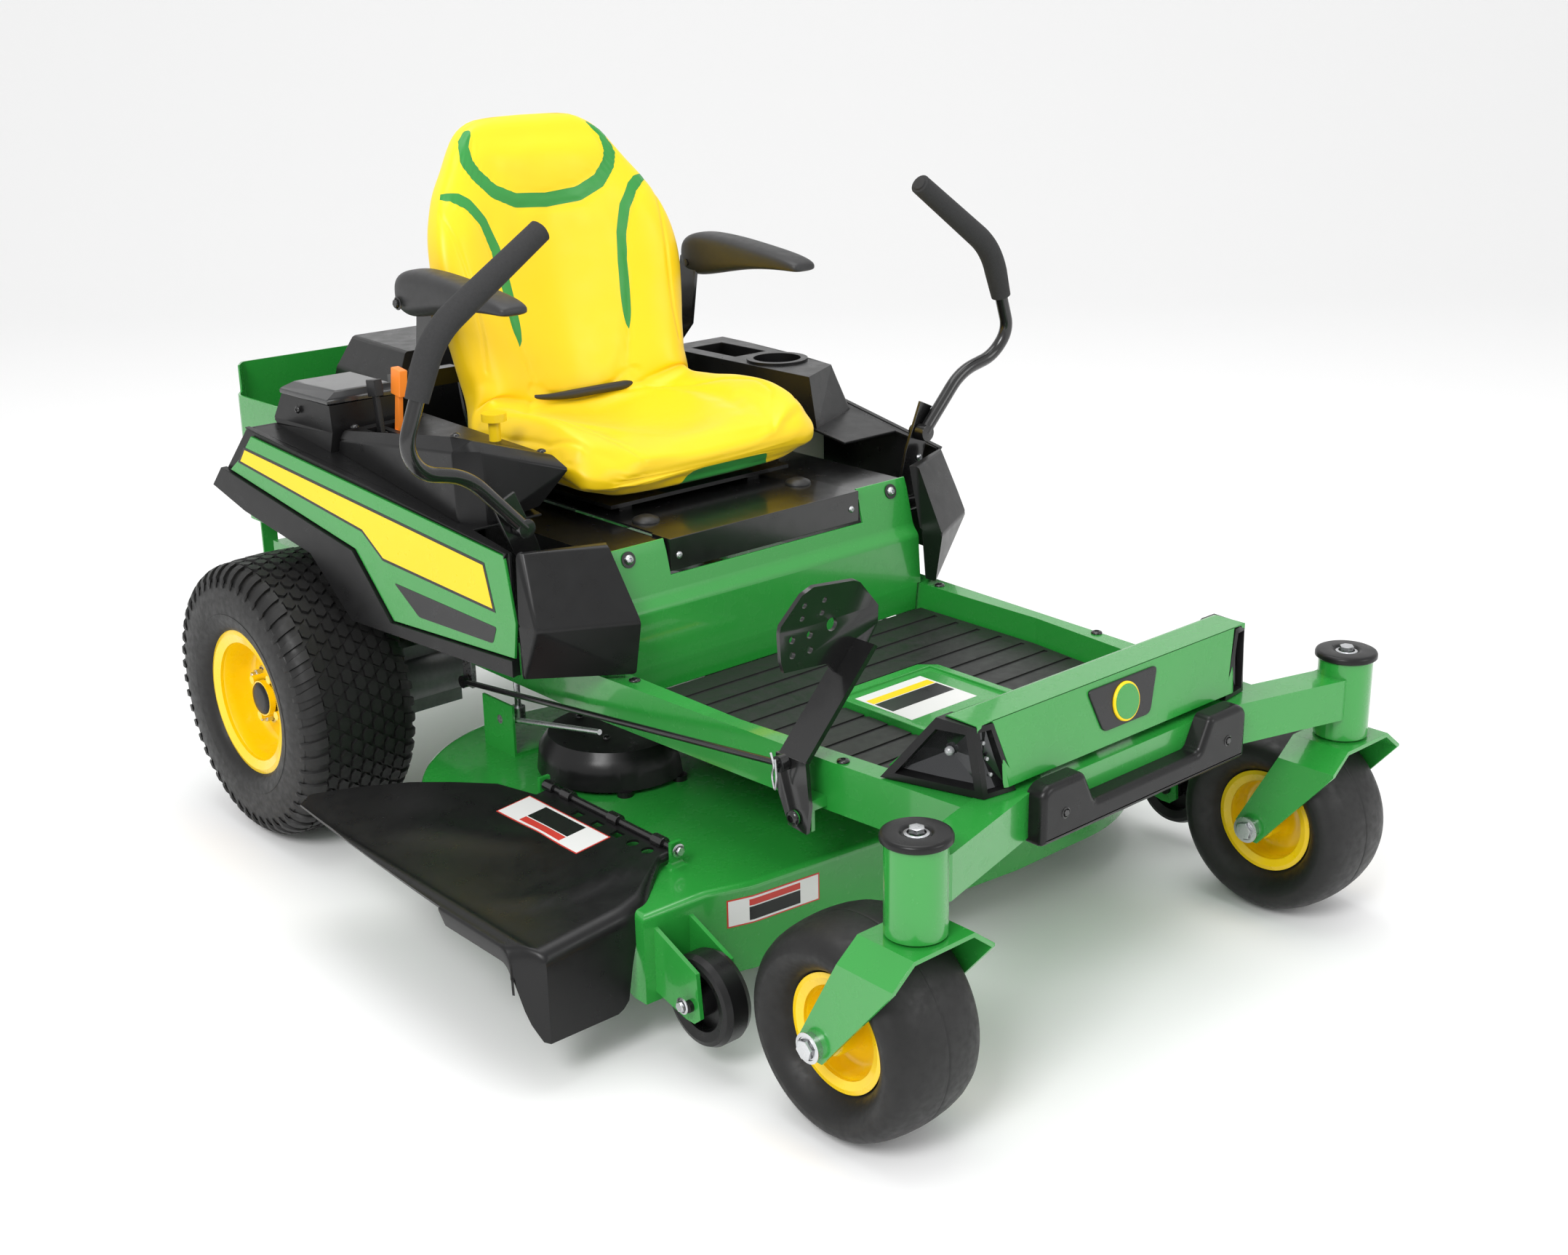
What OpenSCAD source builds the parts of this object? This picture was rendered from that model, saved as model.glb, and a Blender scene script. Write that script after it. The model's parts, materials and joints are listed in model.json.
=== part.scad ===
// Zero-turn riding lawn mower with a two-blade side-discharge deck.
// Millimetres, +Z up, the machine faces -Y and its discharge side is -X.

/* [Wheels] */
// Rear tyre outside diameter
rear_tyre_d = 457; // [440:1:470]
// Rear tyre width
rear_tyre_w = 204; // [180:1:206]
// Caster tyre outside diameter
caster_tyre_d = 279.4; // [260:0.1:282]
// Caster tyre width
caster_tyre_w = 148; // [130:1:150]
// Distance from the centre plane to the middle of a rear tyre
rear_track_x = 485; // [483:1:495]
// Distance from the centre plane to a caster pivot
caster_x = 431; // [425:1:436]
// Distance from the rear axle forward to the caster pivots
caster_pivot_y = 1355; // [1350:1:1360]
// Distance from a caster pivot back to its axle
caster_trail = 83.5; // [80:0.5:88]

/* [Frame] */
// Height of the top of the frame rails
rail_top = 382; // [380:1:384]
// Height of a frame rail
rail_h = 68; // [60:1:70]
// Wall thickness of the frame's box sections
frame_wall = 4; // [3:0.5:5]

/* [Deck] */
// Height of the deck's lower edge at rest
deck_low = 75; // [70:1:80]
// Height of the deck's top sheet at rest
deck_top = 200; // [195:1:203]
// Inside radius of the deck round each blade
deck_r = 285; // [280:1:287]
// Sheet thickness of the deck
deck_wall = 3; // [2:0.5:4]
// Length of a blade from tip to tip
blade_len = 530; // [480:1:540]

/* [Steering levers] */
// Radius of the lever tube
lever_tube_r = 10.5; // [9:0.5:12]
// Radius of the foam grip
grip_r = 17; // [15:0.5:19]

/* [Lift linkage] */
// Height of the lift shaft
lift_z = 350; // [345:1:352]
// Distance of the lift shaft ahead of the rear axle
lift_y = 310; // [308:1:314]
// Length of the arms that carry the deck
lift_arm = 85; // [80:1:90]
// Length of the lever that the lift rod pulls
lift_lever = 58; // [55:1:60]

/* [Hidden] */
$fn = 64;

// The origin is under the middle of the whole machine, with the discharge chute down
origin_x = (695 - 587 - lever_tube_r - 0.2) / 2;
origin_y = (caster_pivot_y - caster_trail + caster_tyre_d / 2 - 392) / 2;

green = "#1f9e3a";
yellow = "#f7d600";
black = "#1c1c1d";
grey = "#8b8d8f";
steel = "#b9bcc0";
orange = "#f07a1c";

axle_z = rear_tyre_d / 2 + 0.1;
caster_axle_y = -caster_pivot_y + caster_trail;
caster_axle_z = caster_tyre_d / 2;
right_spindle = [-262, -563];
left_spindle = [262, -757];
panel_turn = 6;
panel_x = 492;
gap = 0.5;

// Height of the fender's sloping top at a distance y along the machine
function fender_z(y) = 571 + 0.143 * (y + 559);

module placed(shade) {
    translate([origin_x, origin_y, 0]) color(shade) children();
}

// Draws a right-hand part, or its mirror image on the left
module on_side(left) {
    mirror([left ? 1 : 0, 0, 0]) children();
}

module both_sides() {
    on_side(false) children();
    on_side(true) children();
}

// An outline in Y and Z, extruded from x0 to x1
module side_profile(points, x0, x1) {
    translate([x0, 0, 0]) rotate([90, 0, 90]) linear_extrude(x1 - x0) polygon(points);
}

// An outline in X and Z, extruded from y0 to y1
module front_profile(points, y0, y1) {
    translate([0, y1, 0]) rotate([90, 0, 0]) linear_extrude(y1 - y0) polygon(points);
}

// An outline in X and Y, extruded from z0 to z1
module plan_profile(points, z0, z1) {
    translate([0, 0, z0]) linear_extrude(z1 - z0) polygon(points);
}

module block(low, high) {
    translate(low) cube(high - low);
}

// A cylinder along X from x0 to x1
module rod_x(x0, x1, y, z, r) {
    translate([x0, y, z]) rotate([0, 90, 0]) cylinder(h = x1 - x0, r = r);
}

// A cylinder along Y from y0 to y1
module rod_y(y0, y1, x, z, r) {
    translate([x, y1, z]) rotate([90, 0, 0]) cylinder(h = y1 - y0, r = r);
}

// A cylinder from point a to point b
module rod(a, b, r) {
    d = b - a;
    turn = atan2(d.y, d.x);
    tilt = acos(d.z / norm(d));
    translate(a) rotate([0, tilt, turn]) cylinder(h = norm(d), r = r);
}

// Round bar along a path, with a ball at each bend
module bar(path, r) {
    for (i = [0:len(path) - 2]) rod(path[i], path[i + 1], r);
    for (i = [1:len(path) - 2]) translate(path[i]) sphere(r = r + 0.2, $fn = 48);
}

// A closed solid through rings of points, each counter-clockwise seen from above, lowest first
module loft(rings) {
    n = len(rings[0]);
    m = len(rings);
    sides = [
        for (i = [0:m - 2]) for (j = [0:n - 1]) for (t = [0, 1])
            t == 0
                ? [i * n + j, (i + 1) * n + j, (i + 1) * n + (j + 1) % n]
                : [i * n + j, (i + 1) * n + (j + 1) % n, i * n + (j + 1) % n]
    ];
    bottom = [for (j = [1:n - 2]) [0, j, j + 1]];
    top = [for (j = [1:n - 2]) [(m - 1) * n, (m - 1) * n + j + 1, (m - 1) * n + j]];
    polyhedron([for (r = rings) for (p = r) p], concat(sides, bottom, top));
}

// A ring of points at one height
function level(points, z) = [for (p = points) [p[0], p[1], z]];

/* ---------- frame ---------- */

rail_outer = [[-337, 326], [-337, -600], [-312, -1085], [-294, -1302]];
rail_inner = [[-299, 326], [-299, -900], [-274, -1153], [-262, -1302]];

module rail() {
    w = frame_wall;
    difference() {
        plan_profile(concat(rail_outer, [for (i = [3:-1:0]) rail_inner[i]]), rail_top - rail_h, rail_top);
        plan_profile([
            [-337 + w, 400], [-337 + w, -600], [-312 + w, -1085], [-294 + w, -1250],
            [-268 - w, -1250], [-274 - w, -1153], [-299 - w, -900], [-299 - w, 400]
        ], rail_top - rail_h - 1, rail_top - w);
    }
}

module caster_arm() {
    plan_profile([
        [-190, -1322], [-395, -1377], [-caster_x, -1377], [-caster_x, -1325], [-400, -1325], [-190, -1268]
    ], 324, 383);
}

module main_frame() {
    floor_outline = [
        [-299, -652], [-299, -900], [-274, -1153], [-268, -1264],
        [268, -1264], [274, -1153], [299, -900], [299, -652]
    ];
    tube_r = 37.5;
    bush_r = 32.5;
    placed(green) difference() {
        union() {
            both_sides() {
                rail();
                caster_arm();
                translate([-caster_x, -caster_pivot_y, 291]) cylinder(h = 114, r = tube_r);
                // Stays that carry the transmissions
                block([-333, -40, 300], [-299, 60, 316]);
            }
            // Bracket and pin of the lift pedal
            block([-340, -1082, 292], [-334, -1042, 334]);
            block([-340, -1082, 320], [-300, -1042, 334]);
            rod_x(-351, -338, pedal_pivot.x, pedal_pivot.y, 6);
            rod_x(-353, -350, pedal_pivot.x, pedal_pivot.y, 10);
            // Front, middle and rear cross members
            block([-200, -1322, 324], [200, -1264, 383]);
            block([-300, -700, 316], [300, -660, 333]);
            block([-300, 300, 316], [300, 326, rail_top]);
            // Floor and engine plate
            plan_profile(floor_outline, 333, 336);
            block([-300, -60, rail_top], [300, 326, 386]);
            // Hitch plate
            block([-110, 326, 262], [110, 332, rail_top]);
            block([-60, 326, 262], [60, 392, 270]);
        }
        both_sides() {
            translate([-caster_x, -caster_pivot_y, 280]) cylinder(h = 140, r = bush_r);
            // Bores for the lift shaft
            rod_x(-340, -296, -lift_y, lift_z, 12.75);
            // Slots that the lift arms rise through
            block([-332, -432, 370], [-304, -328, 390]);
        }
        // Opening under the hatch
        block([-84, -1094, 330], [84, -878, 340]);
        // Hole for the crankshaft and hole for the hitch pin
        translate([0, 170, 370]) cylinder(h = 30, r = 35);
        translate([0, 366, 250]) cylinder(h = 30, r = 9.5);
        // The middle of the front cross member is hollow
        block([-180, -1318, 328], [180, -1268, 379]);
    }
}

module floor_hatch() {
    placed(green) difference() {
        plan_profile([
            [-78, -862], [-100, -884], [-100, -1100], [100, -1100], [100, -884], [78, -862]
        ], 336, 354);
        block([-86, -1090, 350], [86, -880, 360]);
        block([-96, -1096, 330], [96, -890, 347]);
    }
}

module floor_mat() {
    mat_top = 344;
    rib_step = 46;
    placed("#161617") difference() {
        plan_profile([
            [-292, -662], [-292, -900], [-268, -1122], [268, -1122], [292, -900], [292, -662]
        ], 336, mat_top);
        plan_profile([
            [-80, -859], [-102, -881], [-102, -1130], [102, -1130], [102, -881], [80, -859]
        ], 330, 350);
        // Grooves between the ribs
        for (y = [-1080:rib_step:-690]) block([-280, y, mat_top - 2], [280, y + 8, mat_top + 1]);
    }
}

module front_panel() {
    outer = [[-648, 338], [-652, 380], [-646, 462], [-634, 476], [-619, 536], [-613, 552]];
    t = 4;
    points = concat(outer, [for (i = [len(outer) - 1:-1:0]) [outer[i][0] + t, outer[i][1]]]);
    placed(green) difference() {
        side_profile(points, -302, 302);
        // The seat plate's lip closes this notch
        block([-194, -700, 500], [194, -550, 560]);
        for (s = [-1, 1]) block([min(s * 294, s * 310), -700, 330], [max(s * 294, s * 310), -600, 383]);
    }
}

/* ---------- front end ---------- */

// One headlight housing; grow makes it larger all round for cutting its seat
module headlight_shape(grow) {
    low = [[-303, -1168], [-262, -1303], [-212, -1310], [-225, -1168]];
    high = [[-278, -1238], [-272, -1292], [-243, -1299], [-250, -1238]];
    g = grow;
    away = [[-g, g], [-g, -g], [g, -g], [g, g]];
    loft([
        level(low + away, 384 - g),
        level(high + away, 476 + g)
    ]);
}

module headlights() {
    placed(black) both_sides() headlight_shape(0);
}

module front_hood() {
    outer = [[-1124, 352], [-1149, 384], [-1205, 439], [-1245, 479], [-1297, 479], [-1311, 392]];
    inner = [[-1308, 392], [-1295, 476], [-1246, 476], [-1207, 437], [-1152, 381], [-1128, 350]];
    placed(green) difference() {
        side_profile(concat(outer, inner), -268, 268);
        // Air slots in the rear slope
        for (x = [-52, 62]) for (step = [0, 22]) translate([x, -1214 - step, 448 + step]) rotate([45, 0, 0])
            block([0, -12, -4], [76, 12, 4]);
        both_sides() {
            headlight_shape(1);
            // The hood narrows in front of the headlights and stands on the rails
            plan_profile([[-243, -1296], [-300, -1296], [-300, -1330], [-211, -1330]], 380, 490);
            block([-300, -1200, 300], [-272, -1100, 383]);
            block([-300, -1152, 300], [-262, -1100, 383]);
        }
    }
}

module front_bumper() {
    y0 = -1350;
    y1 = -1322.3;
    ridge = [[-207, 316], [207, 316], [207, 384], [194, 394], [128, 394], [106, 350],
        [-106, 350], [-128, 394], [-194, 394], [-207, 384]];
    placed(black) difference() {
        intersection() {
            front_profile(ridge, y0, y1);
            side_profile([[y1, 300], [y1, 400], [y0 + 14, 400], [y0, 372], [y0, 328], [y0 + 10, 300]], -220, 220);
        }
        // Its ends lie against the slanting caster arms
        both_sides() plan_profile([[-188, -1322.2], [-188, -1310], [-215, -1310], [-215, -1329.6]], 290, 410);
    }
}

/* ---------- body covers ---------- */

module corner_covers() {
    low = [[-305, -658], [-305, -682], [-431, -590], [-432, -584]];
    mid = [[-304, -650], [-304, -697], [-434, -628], [-437, -590]];
    high = [[-304, -622], [-311, -635], [-419, -585], [-425, -575]];
    placed(black) both_sides() loft([level(low, 390), level(mid, 471), level(high, 571)]);
}

// Lays an outline in Y and Z on the sloping side of the machine, between two distances out
module on_side_plane(points, w0, w1) {
    translate([-panel_x, 0, 0]) rotate([0, 0, panel_turn])
        side_profile(points, -w1, -w0);
}

skin_outline = [
    [-572, 571], [52, 660], [123, 581], [155, 551], [69, 521], [-104, 483], [-199, 394],
    [-289, 394], [-577, 391]
];
trim_outline = [
    [-289, 394], [-199, 394], [-104, 483], [69, 521], [155, 551], [126, 584], [108, 581],
    [-215, 509], [-298, 412], [-577, 416], [-577, 391]
];
green_outline = [
    [38, 647], [74, 607], [106, 583], [-217, 511], [-300, 414], [-577, 418], [-584, 471], [-566, 567]
];

module fender_base() {
    t = 4;
    top_inner = 306;
    on_side_plane(skin_outline, -5, 0);
    on_side_plane(trim_outline, -1, 10);
    // Rim along the top edge of the side panel
    on_side_plane([[-572, 571], [-566, 562], [-566, 570], [44, 657], [52, 660]], -1, 5);
    // Top sheet and the wall that drops to the seat pedestal
    intersection() {
        side_profile([[-566, fender_z(-566) - t], [-566, fender_z(-566)], [52, fender_z(52)], [52, fender_z(52) - t]],
            -500, -top_inner);
        plan_profile([[-top_inner, -570], [-431, -570], [-495, 56], [-top_inner, 56]], 500, 700);
    }
    side_profile([[-300, 500], [-300, fender_z(-300)], [52, fender_z(52)], [52, 500]], -top_inner - t, -top_inner);
    // Rear wall
    front_profile([[-496, 560], [-492, fender_z(50)], [-376, fender_z(50)], [-376, 500], [-470, 500]], 48, 52);
}

module right_fender() {
    placed(black) difference() {
        fender_base();
        // Opening for the steering lever
        block([-425, -566, 500], [-300, -470, 700]);
    }
}

cup_place = [380, -222];

module left_fender() {
    cup_r = 46;
    top_z = 678;
    placed(black) difference() {
        union() {
            on_side(true) fender_base();
            loft([
                level([[310, -400], [438, -350], [476, -60], [484, 40], [310, 40]], 590),
                level([[318, -372], [418, -322], [456, -60], [460, 20], [318, 20]], top_z)
            ]);
        }
        block([300, -566, 500], [425, -470, 700]);
        // The raised part is hollow underneath
        loft([
            level([[316, -385], [430, -340], [468, -60], [474, 30], [316, 30]], 500),
            level([[316, -385], [430, -340], [468, -60], [474, 30], [316, 30]], 592),
            level([[324, -360], [412, -314], [448, -60], [452, 10], [324, 10]], top_z - 5)
        ]);
        translate([cup_place.x, cup_place.y, 600]) cylinder(h = 100, r = cup_r);
        // Tray opening
        block([344, -150, 600], [424, -20, 700]);
    }
    // Cup and tray that hang in the two openings
    placed(black) difference() {
        union() {
            translate([cup_place.x, cup_place.y, 594]) cylinder(h = top_z + 1 - 594, r = cup_r);
            translate([cup_place.x, cup_place.y, top_z]) cylinder(h = 4, r = cup_r + 8);
            block([344, -150, 646], [424, -20, top_z]);
        }
        translate([cup_place.x, cup_place.y, 598]) cylinder(h = 100, r = cup_r - 4);
        block([348, -146, 650], [420, -24, 700]);
    }
}

module side_panels() {
    placed(green) both_sides() difference() {
        on_side_plane(green_outline, 0, 5);
        on_side_plane([[-600, 410], [-600, 471], [-584, 471], [-577, 410]], -1, 9);
    }
}

function deck_ring(points) = [for (p = points) [p[0], p[1], fender_z(p[1]) + 0.3]];

module right_console() {
    low = deck_ring([[-430, -112], [-430, -440], [-396, -468], [-308, -468], [-308, -112]]);
    waist = [[-430, -118, 655], [-430, -436, 690], [-396, -462, 688], [-275, -500, 650], [-275, -118, 655]];
    high = [[-424, -122, 670], [-424, -425, 711], [-398, -440, 704], [-282, -470, 668], [-282, -122, 675]];
    placed(black) difference() {
        loft([low, waist, high]);
        // Slots for the two engine levers
        block([-396, -200, 640], [-376, -140, 720]);
        block([-366, -200, 640], [-346, -140, 720]);
        // Bore for the blade engagement knob
        translate([-296, -345, 655]) cylinder(h = 60, r = 9.05);
    }
}

module storage_box() {
    low = deck_ring([[-448, 48], [-442, -108], [-312, -108], [-312, 48]]);
    foot = [[-446, 60, 664], [-440, -108, 664], [-312, -108, 664], [-312, 60, 664]];
    high = [[-442, 30, 711], [-438, -214, 699], [-316, -214, 699], [-316, 30, 711]];
    placed(black) difference() {
        union() {
            loft([low, foot, [[-442, 34, 708], [-438, -108, 708], [-312, -108, 708], [-312, 34, 708]]]);
        }
        loft([
            level([[-432, 18], [-428, -98], [-322, -98], [-322, 18]], 668),
            level([[-432, 18], [-428, -98], [-322, -98], [-322, 18]], 730)
        ]);
    }
}

/* ---------- seat support, engine bay ---------- */

module seat_pedestal() {
    placed(black) {
        difference() {
            union() {
                block([-302, -608, 544], [302, -150, 548]);
                for (s = [-1, 1]) {
                    block([min(s * 298, s * 302), -608, rail_top], [max(s * 298, s * 302), -150, 545]);
                    // Ears that carry the seat hinge
                    block([min(s * 191, s * 197), -608, 505], [max(s * 191, s * 197), -580, 545]);
                }
            }
                block([-190.6, -620, 530], [190.6, -200, 560]);
        }
        for (s = [-1, 1]) {
            rod_x(min(s * 184, s * 197), max(s * 184, s * 197), -598, 522, 5);
            // Pins on which the steering levers swing fore and aft
            rod_x(min(s * 302, s * 398), max(s * 302, s * 398), -545, 480, 8);
        }
    }
}

module rear_cover() {
    placed(black) difference() {
        loft([
            level([[-226, 46], [226, 46], [226, 300], [-226, 300]], 590),
            level([[-218, 60], [218, 60], [200, 292], [-200, 292]], 680),
            level([[-186, 80], [186, 80], [170, 280], [-170, 280]], 732)
        ]);
        loft([
            level([[-222, 50], [222, 50], [222, 296], [-222, 296]], 580),
            level([[-222, 50], [222, 50], [222, 296], [-222, 296]], 592),
            level([[-213, 65], [213, 65], [195, 287], [-195, 287]], 678),
            level([[-182, 84], [182, 84], [166, 276], [-166, 276]], 728)
        ]);
    }
}

module engine_guard() {
    outer = [[-374, 96], [-374, 330], [-336, 384], [336, 384], [374, 330], [374, 96]];
    inner = [[370, 96], [370, 329], [334, 380], [-334, 380], [-370, 329], [-370, 96]];
    placed(green) difference() {
        union() {
            plan_profile(concat(outer, inner), 430, 650);
            // The rear wall and its corners are higher
            plan_profile([[-355, 357], [-336, 384], [336, 384], [355, 357], [352, 355], [334, 380],
                [-334, 380], [-352, 355]], 640, 695);
            // Feet that stand on the frame
            for (s = [-1, 1]) {
                block([min(s * 300, s * 330), 380, 330], [max(s * 300, s * 330), 384, 440]);
                block([min(s * 300, s * 330), 326.2, 330], [max(s * 300, s * 330), 384, 336]);
            }
        }
        // Air slots in the rear wall
        for (z = [470:30:590]) block([-220, 370, z], [220, 400, z + 12]);
    }
}

module engine_block() {
    placed(grey) {
        difference() {
            union() {
                block([-120, 44, 386], [120, 250, 470]);
                for (s = [-1, 1]) translate([s * 60, 200, 428]) rotate([0, 0, -s * 45])
                    for (i = [0:5]) block([-46, 20 + i * 12, -36], [46, 28 + i * 12, 36]);
                for (s = [-1, 1]) translate([s * 60, 200, 428]) rotate([0, 0, -s * 45])
                    block([-34, 0, -30], [34, 92, 30]);
            }
            block([-200, 288, 300], [200, 400, 600]);
        }
        // Crankshaft
        translate([0, 170, 290]) cylinder(h = 96, r = 14);
    }
}

module engine_shroud() {
    placed(black) {
        translate([0, 160, 470]) rotate_extrude()
            polygon([[0, 0], [150, 0], [150, 62], [132, 84], [96, 84], [96, 96], [0, 96]]);
        // Air filter housing
        block([-60, 20, 566], [60, 150, 584]);
    }
}

module muffler() {
    placed(steel) rod_x(-130, 130, 330, 424.2, 38);
}

module fuel_tank() {
    placed("#d9d9d2") loft([
        level([[310.3, -298], [424, -298], [456, 20], [310.3, 20]], 474),
        level([[310.3, -298], [424, -298], [456, 20], [310.3, 20]], 580)
    ]);
}

module transmissions() {
    placed(grey) both_sides() difference() {
        union() {
            rod_x(-372, -230, 0, axle_z, 62);
            block([-345, -110, 176], [-240, 40, 292]);
            block([-345, -40, 285], [-299, 60, 300]);
            rod_x(-362, -240, -112, 236, 34);
            // Input pulley
            translate([-270, -60, 292]) cylinder(h = 8, r = 48);
        }
        rod_x(-380, -330, 0, axle_z, 12.75);
    }
}

module caster_bushes() {
    placed(steel) both_sides() for (z = [292, 384]) translate([-caster_x, -caster_pivot_y, z]) difference() {
        cylinder(h = 20, r = 32.5);
        translate([0, 0, -1]) cylinder(h = 30, r = 12.75);
    }
}

/* ---------- wheels ---------- */

// Half section of a rear tyre's outside, from the bead to the middle of the tread, as [radius, offset]
rear_section = [[0, 78.5], [16.5, 82.5], [19, 90], [33, 99], [53, 102], [88, 99], [114, 88], [123, 74], [126.9, 45]];

module wheel_turned(x, y, z) {
    translate([x, y, z]) rotate([0, 90, 0]) rotate_extrude() children();
}

// Right-hand rear wheel: rim, disc, hub, wheel bolts and the axle stub in the transmission
module rear_rim(left) {
    rim_r = 101.6;
    flange_r = 119;
    half = 87;
    placed(yellow) on_side(left) {
        difference() {
            union() {
                wheel_turned(-rear_track_x, 0, axle_z) polygon([
                    [98, -half + 4], [112, -half - 1], [flange_r, -half + 1], [flange_r - 2, -half + 4],
                    [rim_r, -half + 8], [rim_r, half - 8], [flange_r - 2, half - 4], [flange_r, half - 1],
                    [112, half + 1], [98, half - 4]
                ]);
                rod_x(-rear_track_x - 26, -rear_track_x - 20, 0, axle_z, 99);
                rod_x(-rear_track_x - 34, -rear_track_x - 19, 0, axle_z, 52);
            }
            for (a = [45:90:315]) translate([-rear_track_x, 0, axle_z]) rotate([a, 0, 0])
                translate([-40, 0, 62]) rotate([0, 90, 0]) cylinder(h = 30, r = 4.5, $fn = 24);
        }
        // Hub with its dust cap, four bolts, and the axle stub
        rod_x(-rear_track_x - 62, -rear_track_x - 34, 0, axle_z, 29);
        for (a = [0:90:270]) translate([-rear_track_x, 0, axle_z]) rotate([a + 30, 0, 0])
            translate([-58, 0, 42]) rotate([0, 90, 0]) cylinder(h = 24, r = 7, $fn = 24);
        rod_x(-rear_track_x - 19, -332, 0, axle_z, 12.7);
    }
}

module rear_tyre(left) {
    bead = 101.8;
    outer = rear_tyre_d / 2;
    grow = (outer - bead) / 126.7;
    wide = rear_tyre_w / 204;
    half = [for (p = rear_section) [min(bead + p[0] * grow, outer), p[1] * wide]];
    n = len(half) - 1;
    placed(black) on_side(left) wheel_turned(-rear_track_x, 0, axle_z) polygon(concat(
        [for (i = [0:n]) [half[i][0], -half[i][1]]],
        [for (i = [n:-1:0]) half[i]],
        [[bead, 70], [118, 74], [132, 88], [160, 92], [190, 88], [207, 76], [213, 0],
            [207, -76], [190, -88], [160, -92], [132, -88], [118, -74], [bead, -70]]
    ));
}

// Strap fork with its spindle, top cap and axle bolt
module caster_fork(left) {
    t = 6;
    strap = [
        [-84, 110], [-84, 262], [-50, 288], [50, 288], [84, 262], [84, 110],
        [84 - t, 110], [84 - t, 259], [48, 288 - t], [-48, 288 - t], [-84 + t, 259], [-84 + t, 110]
    ];
    y0 = -caster_pivot_y;
    leg = [
        [y0 - 46, 290], [y0 + 44, 290], [y0 + 44, 262], [caster_axle_y + 24, caster_axle_z + 6],
        [caster_axle_y + 14, caster_axle_z - 20], [caster_axle_y - 14, caster_axle_z - 20], [y0 - 46, 258]
    ];
    placed(green) on_side(left) difference() {
        union() {
            intersection() {
                translate([-caster_x, 0, 0]) front_profile(strap, y0 - 60, caster_axle_y + 40);
                side_profile(leg, -caster_x - 90, -caster_x + 90);
            }
            translate([-caster_x, y0, 288]) cylinder(h = 2.7, r = 30);
            translate([-caster_x, y0, 288]) cylinder(h = 118, r = 12.7);
            // Cap over the tube and the bolt on it
            translate([-caster_x, y0, 405.5]) cylinder(h = 5, r = 40);
            translate([-caster_x, y0, 410]) cylinder(h = 9, r = 9, $fn = 6);
            // Axle bolt, its head, nut and spacers
            rod_x(-caster_x - 84, -caster_x + 84, caster_axle_y, caster_axle_z, 9.5);
            rod_x(-caster_x - 93, -caster_x - 84, caster_axle_y, caster_axle_z, 15);
            rod_x(-caster_x + 84, -caster_x + 93, caster_axle_y, caster_axle_z, 15);
            rod_x(-caster_x - 78, -caster_x - 60.5, caster_axle_y, caster_axle_z, 14);
            rod_x(-caster_x + 60.5, -caster_x + 78, caster_axle_y, caster_axle_z, 14);
        }
    }
}

module caster_rim(left) {
    half = 47;
    placed(yellow) on_side(left) difference() {
        union() {
            wheel_turned(-caster_x, caster_axle_y, caster_axle_z) polygon([
                [60, -half + 3], [70, -half - 1], [76, -half], [75, -half + 3], [63.5, -half + 6],
                [63.5, half - 6], [75, half - 3], [76, half], [70, half + 1], [60, half - 3]
            ]);
            rod_x(-caster_x - 4, -caster_x + 4, caster_axle_y, caster_axle_z, 61);
            rod_x(-caster_x - 60, -caster_x + 60, caster_axle_y, caster_axle_z, 22);
        }
        rod_x(-caster_x - 70, -caster_x + 70, caster_axle_y, caster_axle_z, 9.55);
    }
}

module caster_tyre(left) {
    half = caster_tyre_w / 2;
    r = caster_tyre_d / 2;
    bead = 63.7;
    placed(black) on_side(left) wheel_turned(-caster_x, caster_axle_y, caster_axle_z) polygon([
        [bead, -40.5], [76.6, -43.5], [80, -50], [92, -66], [106, -half], [122, -half + 3], [133, -54], [138, -34], [r, 0],
        [138, 34], [133, 54], [122, half - 3], [106, half], [92, 66], [80, 50],
        [76.6, 43.5], [bead, 40.5], [bead, 32], [78, 38], [92, 58], [108, half - 8], [126, 46], [132, 0], [126, -46], [108, -half + 8], [92, -58], [78, -38], [bead, -32]
    ]);
}

/* ---------- deck ---------- */

// Plan of the deck, drawn in by m from the outer face
module deck_outline(m) {
    r = deck_r + deck_wall - m;
    n = [0.3472, 0.9377];
    translate(right_spindle) circle(r = r, $fn = 128);
    translate(left_spindle) circle(r = r, $fn = 128);
    polygon([
        [-532 + m, -975 + m], [-430, -979 + m], [-367, -998 + m], [100, -1045 + m], [262, -1045 + m],
        left_spindle + r * n, right_spindle + r * n, right_spindle, [-532 + m, -600]
    ]);
}

roller_x = 485;
roller_y = -1045;
roller_z = 97;
roller_r = 62;

module roller_brackets() {
    plate = [
        [-880, 190], [-950, 190], [-1058, 146], [-1064, 84], [-1052, 74], [-1036, 74], [-960, 92], [-880, 120]
    ];
    for (s = [-1, 1]) for (d = [-31, 25])
        side_profile(plate, s * roller_x + d, s * roller_x + d + 6);
}

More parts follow.
